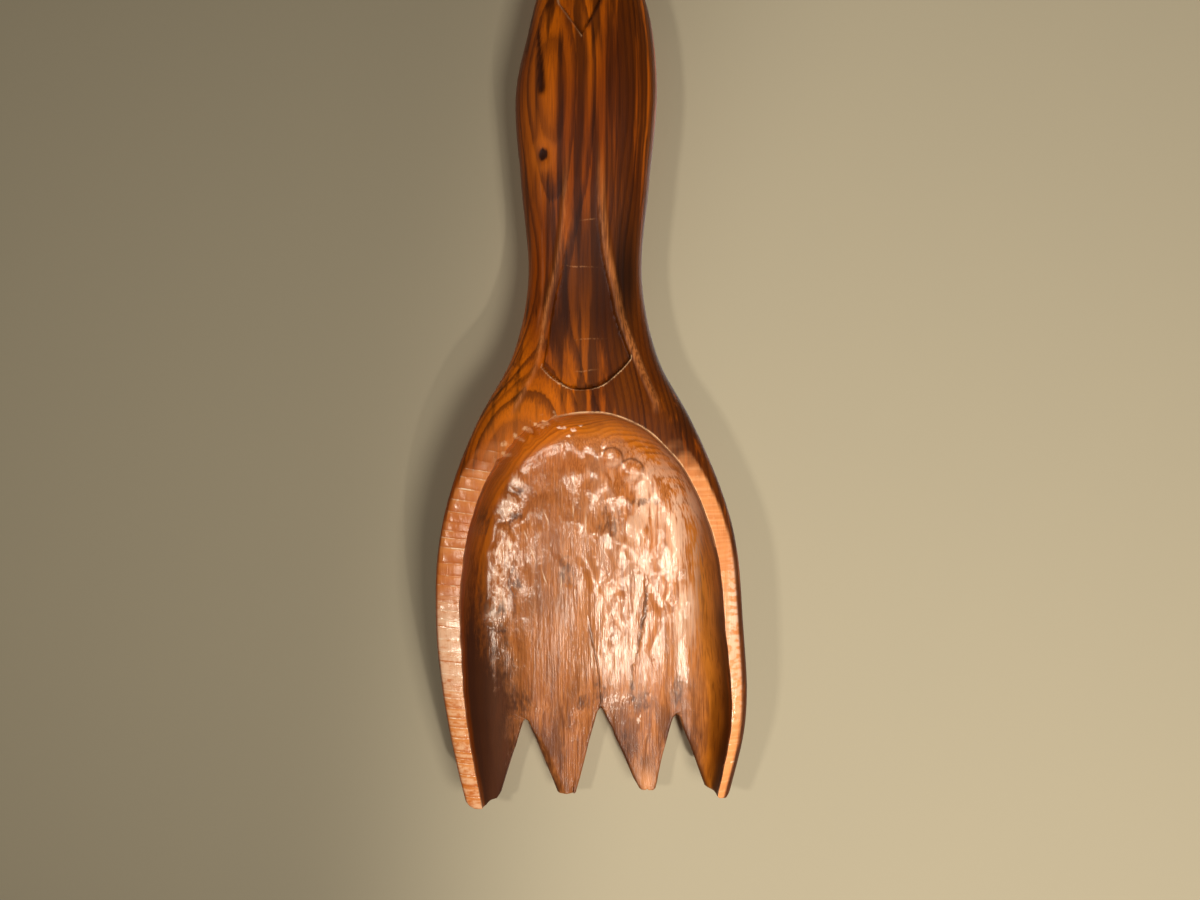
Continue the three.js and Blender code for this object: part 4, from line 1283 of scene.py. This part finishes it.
def tool_marks():
    """Lumps, gouge cuts and furrows in the hollow, chatter along the rim and long knife facets on the outside."""
    inputs = [(name, "NodeSocketFloat") for name in TOOL_MARKS] + [("Material", "NodeSocketMaterial")]
    tree, given = new_tree("tool_marks", inputs)
    place = tree.stretched(tree.add("GeometryNodeInputPosition"), (1 / MM,) * 3)
    x, _, z = tree.parts(place)
    height = z + HANG_HEIGHT
    in_hollow, rim = tree.named("in_hollow"), tree.named("rim")
    drift = (tree.noise(place, 0.035) - 0.5) * 10
    wave = (tree.noise(place, (0.02, 0.02, 0.06)) - 0.5) * 9
    left = 1 - x.within(-34, -12)

    lump_place = tree.joined(x / given["Lump Size"], 0.0, height * 0.55 / given["Lump Size"])
    lumps = (tree.noise(lump_place, 1.0, 1.5) - 0.5) * 2 * given["Lump Height"] * (0.5 + 0.5 * left)

    width = given["Gouge Width"]
    gouge = tree.cells(tree.joined((x + drift) / width, (height + drift) / width * 0.5, 0.0), 1.0, "2D")
    patchy = tree.noise(place, 0.045, 1.0).within(0.4, 0.58)
    gouges = (gouge * gouge * 1.6 - 0.3) * given["Gouge Depth"] * patchy * (0.2 + height.within(74, 118))

    ridge = tree.noise(tree.joined((x + wave) / given["Furrow Width"], 3.0, height * 0.014), 1.0, 1.0, 0.4) - 0.5
    furrow = ridge.near(0.075) * x.within(-8, 14) + ridge.near(0.05) * left * 0.7
    furrows = furrow * given["Furrow Depth"] * (1 - height.within(120, 150)) * -1
    calm = 1 - 0.75 * (x + 17).near(11) * height.within(48, 70)
    hollow = (lumps + gouges + furrows) * calm * in_hollow.within(8, 15)

    chatter = tree.cells(tree.named("rim_run") / given["Chatter Step"], 0.9, "1D")
    chatter = (chatter * chatter * 3.5 - 0.3) * given["Chatter Depth"] * rim * (1 - x.within(0, 20) * 0.6)

    long_cells = tree.scaled(tree.stretched(place, (1.0, 1.0, 0.22)), 1 / given["Facet Width"])
    facet = tree.cells(long_cells)
    outside = (1 - in_hollow.within(0, 0.5)) * (1 - tree.named("sawn")) * (1 - rim)
    facets = (facet * facet * 1.5 - 0.35) * given["Facet Depth"] * outside

    push = tree.scaled(tree.add("GeometryNodeInputNormal"), (hollow + chatter + facets) * MM)
    marked = tree.add("GeometryNodeSetPosition", {}, {"Geometry": given["Geometry"], "Offset": push})
    end_tree(tree, marked, given["Material"])
    return tree


wood = carved_wood()
body = body_blank()
apply_tree(body, tool_marks(), {**TOOL_MARKS, "Material": wood})
body.data.shade_smooth()
body.data.set_sharp_from_angle(angle=math.radians(BODY_SHARP))
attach(body, "fork")
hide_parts("fork_body")

# The hanger on the back of the handle, in millimetres about the pivot of its ring.

WIRE, RING_HALF, RING_REACH, RING_BEND, RING_SPLIT = 3, 9, 18, 3, 0.4
STRAP_WIDTH, STRAP_LENGTH, SHEET, LEAF_STEP, STRAP_CORNER = 11, 34, 1.2, 2, 2.6
PIVOT_CLEARANCE, FOLD_GAP, FOLD_SLANT = 0.3, 0.25, 45
HOLE, HOLE_REACH = 4.1, 9
SCREW_DROPS = (10.5, 26.5)  # of the screws below the pivot
SCREW_LENGTH, SCREW_POINT, SHANK, SCREW_HEAD, HEAD_RISE, HEAD_LIP = 16, 4, 3.5, 7, 2, 0.25
SLOT_WIDTH, SLOT_DEPTH = 1, 0.9
SLOT_TURNS = (0.35, -0.6)
STRAP_EDGE, SCREW_EDGE = 0.18, 0.1  # rounding of their edges
BORE = WIRE / 2 + PIVOT_CLEARANCE
BEHIND_FLAT = SEAT_GAP + SHEET + BORE  # from the sawn flat to the pivot
RING_LEAN = math.asin((BEHIND_FLAT - WIRE / 2 - SEAT_GAP) / RING_REACH)
HEAD_SEAT = SHEET + FOLD_GAP + SEAT_GAP - BORE
PIVOT = Vector(frame["joints"][0]["pos_m"])
AROUND = 40  # points round a turned piece


def arc(middle, radius, start, end, steps):
    """Points on an arc, with angles in degrees."""
    angles = np.radians(np.linspace(start, end, steps + 1))
    return [(middle[0] + radius * math.cos(a), middle[1] + radius * math.sin(a)) for a in angles]


def mesh_object(name, points, faces, edges=()):
    mesh = bpy.data.meshes.new(name)
    mesh.from_pydata(points, edges, faces)
    return new_object(name, mesh)


def lathe(name, profile):
    """A closed round solid about the Y axis, from a profile of radius and place along Y that starts and ends on it."""
    turns = [2 * math.pi * i / AROUND for i in range(AROUND)]
    points = [(r * math.cos(t) * MM, y * MM, r * math.sin(t) * MM) for r, y in profile for t in turns]
    faces = []
    for i in range(0, (len(profile) - 1) * AROUND, AROUND):
        for j in range(AROUND):
            k = (j + 1) % AROUND
            faces.append((i + j, i + k, i + AROUND + k, i + AROUND + j))
    item = mesh_object(name, points, faces)
    clean(item.data)
    return item


def cut_away(item, cutters):
    for cutter in cutters:
        modifier = item.modifiers.new("cut", "BOOLEAN")
        modifier.object, modifier.operation, modifier.solver = cutter, "DIFFERENCE", "EXACT"
    bake_modifiers(item)
    for cutter in cutters:
        bpy.data.objects.remove(cutter)


def soften(item, width):
    """Rounds the sharp edges of a piece."""
    edge = item.modifiers.new("edge", "BEVEL")
    edge.width, edge.segments, edge.limit_method, edge.angle_limit = width * MM, 2, "ANGLE", math.radians(50)
    bake_modifiers(item)


def smooth(item, material, angle=40):
    item.data.materials.clear()
    item.data.materials.append(material)
    item.data.shade_smooth()
    item.data.set_sharp_from_angle(angle=math.radians(angle))


def strap_line():
    """The middle of the folded sheet from the side: up the front leaf, round the wire and down the rear leaf."""
    fold = BORE + SHEET / 2
    rear = SHEET + FOLD_GAP - fold
    slant = math.radians(FOLD_SLANT)
    side, drop = fold * math.cos(slant), -fold * math.sin(slant)
    pinch = drop - (side - rear)
    line = [(-fold, -STRAP_LENGTH), *arc((0, 0), fold, 180, -FOLD_SLANT, 30)]
    for t in np.linspace(0, 1, 9)[1:]:
        line.append((side * (1 - t) ** 2 + rear * (1 - (1 - t) ** 2),
                     drop * (1 - t) ** 2 + 2 * pinch * t * (1 - t) + (pinch - fold) * t * t))
    line.append((rear, LEAF_STEP - STRAP_LENGTH))
    return np.array(line)


def strap_blank():
    """The folded sheet with rounded ends, before the holes."""
    line = strap_line()
    along = np.gradient(line, axis=0)
    along /= np.linalg.norm(along, axis=1)[:, None]
    out = np.stack((-along[:, 1], along[:, 0]), axis=1) * SHEET / 2
    loop = np.concatenate((line + out, (line - out)[::-1]))
    count = len(loop)
    points = [(x * STRAP_WIDTH / 2, y, z) for x in (-1, 1) for y, z in loop]
    points = [tuple(PIVOT + Vector(point) * MM) for point in points]
    faces = [(i, (i + 1) % count, (i + 1) % count + count, i + count) for i in range(count)]
    faces += [tuple(range(count)), tuple(range(count, 2 * count))]
    item = mesh_object("folded_strap", points, faces)
    work = bmesh.new()
    work.from_mesh(item.data)
    work.verts.ensure_lookup_table()
    ends = [(0, count - 1), (len(line) - 1, len(line))]
    corners = [work.edges.get((work.verts[a + k], work.verts[b + k])) for a, b in ends for k in (0, count)]
    bmesh.ops.bevel(work, geom=corners, offset=STRAP_CORNER * MM, segments=6, affect="EDGES", profile=0.5)
    bmesh.ops.recalc_face_normals(work, faces=work.faces)
    work.to_mesh(item.data)
    work.free()
    return item


def folded_strap(material):
    """A steel strap folded round the ring's wire, with rounded ends and two screw holes."""
    item = strap_blank()
    cutters = []
    for drop in SCREW_DROPS:
        hole = lathe("hole", [(0, -HOLE_REACH), (HOLE / 2, -HOLE_REACH), (HOLE / 2, HOLE_REACH), (0, HOLE_REACH)])
        hole.location = PIVOT + Vector((0, 0, -drop * MM))
        cutters.append(hole)
    bpy.context.view_layer.update()
    cut_away(item, cutters)
    soften(item, STRAP_EDGE)
    smooth(item, material)
    return item


def bent_wire():
    """A round wire along a path of edges."""
    tree, given = new_tree("bent_wire", [("Wire", "NodeSocketFloat"), ("Material", "NodeSocketMaterial")])
    path = tree.add("GeometryNodeMeshToCurve", {}, {"Mesh": given["Geometry"]})
    ring = tree.add("GeometryNodeCurvePrimitiveCircle", {}, {"Resolution": 24, "Radius": given["Wire"] / 2})
    wire = tree.add("GeometryNodeCurveToMesh", {}, {"Curve": path, "Profile Curve": ring, "Fill Caps": True})
    end_tree(tree, wire, given["Material"])
    return tree


def wire_ring(material):
    """The D ring, standing up and leaning on the wood."""
    upright, bend = RING_REACH - RING_HALF, RING_HALF - RING_BEND
    path = [(RING_SPLIT / 2, 0), (bend / 2, 0), *arc((bend, RING_BEND), RING_BEND, -90, 0, 10)]
    path += arc((0, upright), RING_HALF, 0, 180, 44)
    path += [*arc((-bend, RING_BEND), RING_BEND, 180, 270, 10), (-bend / 2, 0), (-RING_SPLIT / 2, 0)]
    lean = Matrix.Rotation(RING_LEAN, 3, "X")
    points = [tuple(PIVOT + lean @ Vector((x, 0, z)) * MM) for x, z in path]
    item = mesh_object("wire_ring", points, [], [(i, i + 1) for i in range(len(points) - 1)])
    apply_tree(item, bent_wire(), {"Wire": WIRE * MM, "Material": material})
    clean(item.data)
    smooth(item, material)
    return item


def placed_copies():
    """One copy of a template on each point, turned about Y by the point's own angle."""
    tree, given = new_tree("placed_copies", [("Template", "NodeSocketObject"), ("Material", "NodeSocketMaterial")])
    shape = tree.add("GeometryNodeObjectInfo", {}, {"Object": given["Template"]}, out=4)
    turned = tree.joined(0.0, tree.named("turn"), 0.0)
    sockets = {"Points": given["Geometry"], "Instance": shape, "Rotation": turned}
    copies = tree.add("GeometryNodeInstanceOnPoints", {}, sockets)
    end_tree(tree, copies, given["Material"])
    return tree


def place_copies(name, template, places, turns, material):
    item = mesh_object(name, places, [])
    item.data.attributes.new("turn", "FLOAT", "POINT").data.foreach_set("value", turns)
    apply_tree(item, placed_copies(), {"Template": template, "Material": material})
    bpy.data.objects.remove(template)
    smooth(item, material)
    return item


def slotted_screws(material):
    """Two round-head wood screws that point at the viewer."""
    radius, head, shoulder = SHANK / 2, SCREW_HEAD / 2, HEAD_RISE / 3
    dome = [(head * math.cos(a), shoulder + (HEAD_RISE - shoulder) * math.sin(a))
            for a in np.linspace(0, math.pi / 2, 9)]
    profile = [(0, -SCREW_LENGTH), (radius, SCREW_POINT - SCREW_LENGTH), (radius, 0)]
    template = lathe("screw", profile + [(head - HEAD_LIP, 0), (head, HEAD_LIP), *dome])
    slot = mesh_object("slot", [(x, y, z) for x in (-1, 1) for y in (-1, 1) for z in (-1, 1)],
                       [(0, 1, 3, 2), (4, 6, 7, 5), (0, 4, 5, 1), (2, 3, 7, 6), (0, 2, 6, 4), (1, 5, 7, 3)])
    slot.data.transform(Matrix.Diagonal((SCREW_HEAD * MM, SLOT_DEPTH * MM, SLOT_WIDTH / 2 * MM, 1)))
    slot.data.transform(Matrix.Translation((0, HEAD_RISE * MM, 0)))
    clean(slot.data)
    cut_away(template, [slot])
    soften(template, SCREW_EDGE)
    places = [tuple(PIVOT + Vector((0, HEAD_SEAT, -drop)) * MM) for drop in SCREW_DROPS]
    return place_copies("slotted_screws", template, places, SLOT_TURNS, material)


# The felt discs on the back of the head

FELT_EDGE = 0.8  # rounding of a disc's rim, on the side of the wall
FELT_SINK = 0.12  # unevenness of its face
FELT_TURNS = (0.4, 1.9)
FELT_SHARP = 60
FIBRES = 5200000.0  # on a square metre
FIBRE_LENGTH, FIBRE_WIDTH, FIBRE_SEED = 0.9, 0.05, 5
FIBRE_LEAN = (1.1, 1.1, 3.1)


def felt_fuzz():
    """Short fibres that stand off a felt surface."""
    tree, given = new_tree("felt_fuzz", [
        ("Density", "NodeSocketFloat"),
        ("Length", "NodeSocketFloat"),
        ("Width", "NodeSocketFloat"),
        ("Seed", "NodeSocketInt"),
        ("Material", "NodeSocketMaterial"),
    ])
    felt, seed, width = given["Geometry"], given["Seed"], given["Width"]
    points = tree.add("GeometryNodeDistributePointsOnFaces", {},
                      {"Mesh": felt, "Density": given["Density"], "Seed": seed})
    lean = tree.add("FunctionNodeRandomValue", {"data_type": "FLOAT_VECTOR"},
                    {0: tuple(-angle for angle in FIBRE_LEAN), 1: FIBRE_LEAN, "Seed": seed})
    lean = tree.add("FunctionNodeEulerToRotation", {}, {0: lean})
    turned = tree.add("FunctionNodeRotateRotation", {"rotation_space": "LOCAL"},
                      {"Rotation": points.other("Rotation"), "Rotate By": lean})
    fibre = tree.add("GeometryNodeMeshCone", {"fill_type": "NGON"},
                     {"Vertices": 3, "Radius Top": width * 0.2, "Radius Bottom": width, "Depth": given["Length"]})
    size = tree.add("FunctionNodeRandomValue", {"data_type": "FLOAT"}, {2: 0.4, 3: 1.0, "Seed": seed}, out=1)
    fibres = tree.add("GeometryNodeInstanceOnPoints", {},
                      {"Points": points, "Instance": fibre, "Rotation": turned, "Scale": size})
    end_tree(tree, tree.add("GeometryNodeJoinGeometry", {}, {0: [fibres, felt]}), given["Material"])
    return tree


def felt_discs(material):
    """Two soft discs, a little out of round, with fuzz."""
    low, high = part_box("bumper_left")
    radius, thick = (high.x - low.x) / 2 / MM, (high.y - low.y) / MM
    profile = [(0, 0)] + [(radius * s, 0) for s in (0.3, 0.6, 0.85)] + [(radius, 0.2), (radius, thick - FELT_EDGE)]
    profile += arc((radius - FELT_EDGE, thick - FELT_EDGE), FELT_EDGE, 0, 90, 5)[1:]
    profile += [(radius * s, thick) for s in (0.75, 0.5, 0.25)]
    template = lathe("disc", profile + [(0, thick)])
    for vertex in template.data.vertices:
        x, y, z = vertex.co / MM
        swell = FELT_SINK * wander(x, z, 4, 8)
        vertex.co *= 1 - 0.012 * (1 + math.sin(3.1 * math.atan2(z, x))) * (y > 0.1)
        vertex.co.y += (swell - FELT_SINK) * MM * (y > 0.5)
    places = []
    for name in ("bumper_left", "bumper_right"):
        near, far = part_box(name)
        places.append(((near.x + far.x) / 2, low.y, (near.z + far.z) / 2))
    item = place_copies("felt_discs", template, places, FELT_TURNS, material)
    apply_tree(item, felt_fuzz(), {
        "Density": FIBRES,
        "Length": FIBRE_LENGTH * MM,
        "Width": FIBRE_WIDTH * MM,
        "Seed": FIBRE_SEED,
        "Material": material,
    })
    smooth(item, material, FELT_SHARP)
    return item


zinc = steel("hanger_steel", colour(196, 188, 170), colour(150, 136, 108))
plated = steel("screw_steel", colour(206, 178, 118), colour(140, 112, 70))
for piece, rides_on, stands_for, finish in (
    (folded_strap(zinc), "fork", ["hanger_strap"], "hanger_steel"),
    (wire_ring(zinc), "ring", ["hanger_ring"], "hanger_steel"),
    (slotted_screws(plated), "fork", ["hanger_screw_upper", "hanger_screw_lower"], "screw_steel"),
    (felt_discs(pressed_felt()), "fork", ["bumper_left", "bumper_right"], "felt"),
):
    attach(piece, rides_on)
    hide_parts(*stands_for)

# Stage and light

CAMERA_REACH = 500  # from the camera to the rim of the head
VIEW_WIDTH = 510  # what the picture spans across, at the rim of the head
VIEW_MIDDLE, VIEW_HEIGHT = 6.0, 159.4  # what is in the middle of it
RIM_DEPTH = -24
SENSOR = 36

camera_data = bpy.data.cameras.new("camera")
camera_data.sensor_width = SENSOR
camera_data.lens = SENSOR * CAMERA_REACH / VIEW_WIDTH
camera = new_object("camera", camera_data)
camera.location = to_frame(VIEW_MIDDLE, RIM_DEPTH - CAMERA_REACH, VIEW_HEIGHT)
camera.rotation_euler = (math.pi / 2, 0, 0)
bpy.context.scene.camera = camera

# In metres.
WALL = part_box("bumper_left")[1].y + 0.0004
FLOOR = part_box("fork_body")[0].z - 1.2
WALL_TOP, STAGE_HALF = 2, 3.0


def stage_plane(name, near, far, tint):
    """A plain backdrop that is seen from its front only, and lets lamps behind it through.

    near, far: depth and height of its two long edges.
    """
    sides = (-STAGE_HALF, *near), (STAGE_HALF, *near), (STAGE_HALF, *far), (-STAGE_HALF, *far)
    plane = mesh_object(name, sides, [(0, 1, 2, 3)])
    material, tree = new_material(name)
    plaster = tree.noise(millimetres(tree), 0.02, 3.0)
    tone = tree.mixed(plaster * 0.12, tint, colour(150, 140, 118))
    paint = tree.add("ShaderNodeBsdfDiffuse", {}, {"Color": tone})
    behind = tree.add("ShaderNodeNewGeometry", {}, {}, out=6)
    shadow = tree.add("ShaderNodeLightPath", {}, {}, out=1)
    clear = tree.add("ShaderNodeBsdfTransparent")
    shown = tree.add("ShaderNodeMixShader", {}, {0: behind.math("MAXIMUM", shadow), 1: paint, 2: clear})
    end_material(tree, shown)
    plane.data.materials.append(material)


stage_plane("wall", (WALL, FLOOR), (WALL, WALL_TOP), colour(162, 148, 120))
stage_plane("floor", (-STAGE_HALF, FLOOR), (WALL, FLOOR), colour(176, 169, 154))


def lamp(name, kind, place, aim, **settings):
    """A soft lamp at a place in the row frame, aimed at a point."""
    data = bpy.data.lights.new(name, kind)
    for setting, value in settings.items():
        setattr(data, setting, value)
    item = new_object(name, data)
    item.location = place
    item.rotation_euler = (Vector(aim) - Vector(place)).to_track_quat("-Z", "Y").to_euler()


HEAD = Vector(to_frame(2, -10, 100))
SOFT_SPREAD = math.radians(120)
lamp("key_lamp", "SPOT", HEAD + Vector((0.5, -1.12, -0.8)), HEAD + Vector((0.89, 0.03, -0.43)),
     energy=83, spot_size=math.radians(87.6), spot_blend=0.12, shadow_soft_size=0.06)
lamp("front_lamp", "AREA", HEAD + Vector((0.3, -0.9, -0.18)), HEAD, energy=2.2, size=0.25, spread=SOFT_SPREAD)
lamp("fill_lamp", "AREA", HEAD + Vector((-0.42, -0.92, 0.05)), HEAD, energy=1.25, size=0.08, spread=SOFT_SPREAD)
lamp("back_lamp", "AREA", (0.5, 1.2, -0.1), (0, 0, -0.2), energy=14, size=0.8)

world = bpy.data.worlds.new("studio")
world.use_nodes = True
background = world.node_tree.nodes["Background"]
background.inputs["Color"].default_value = (1, 1, 1, 1)
background.inputs["Strength"].default_value = 0.06
bpy.context.scene.world = world
bpy.context.scene.view_settings.view_transform = "Standard"
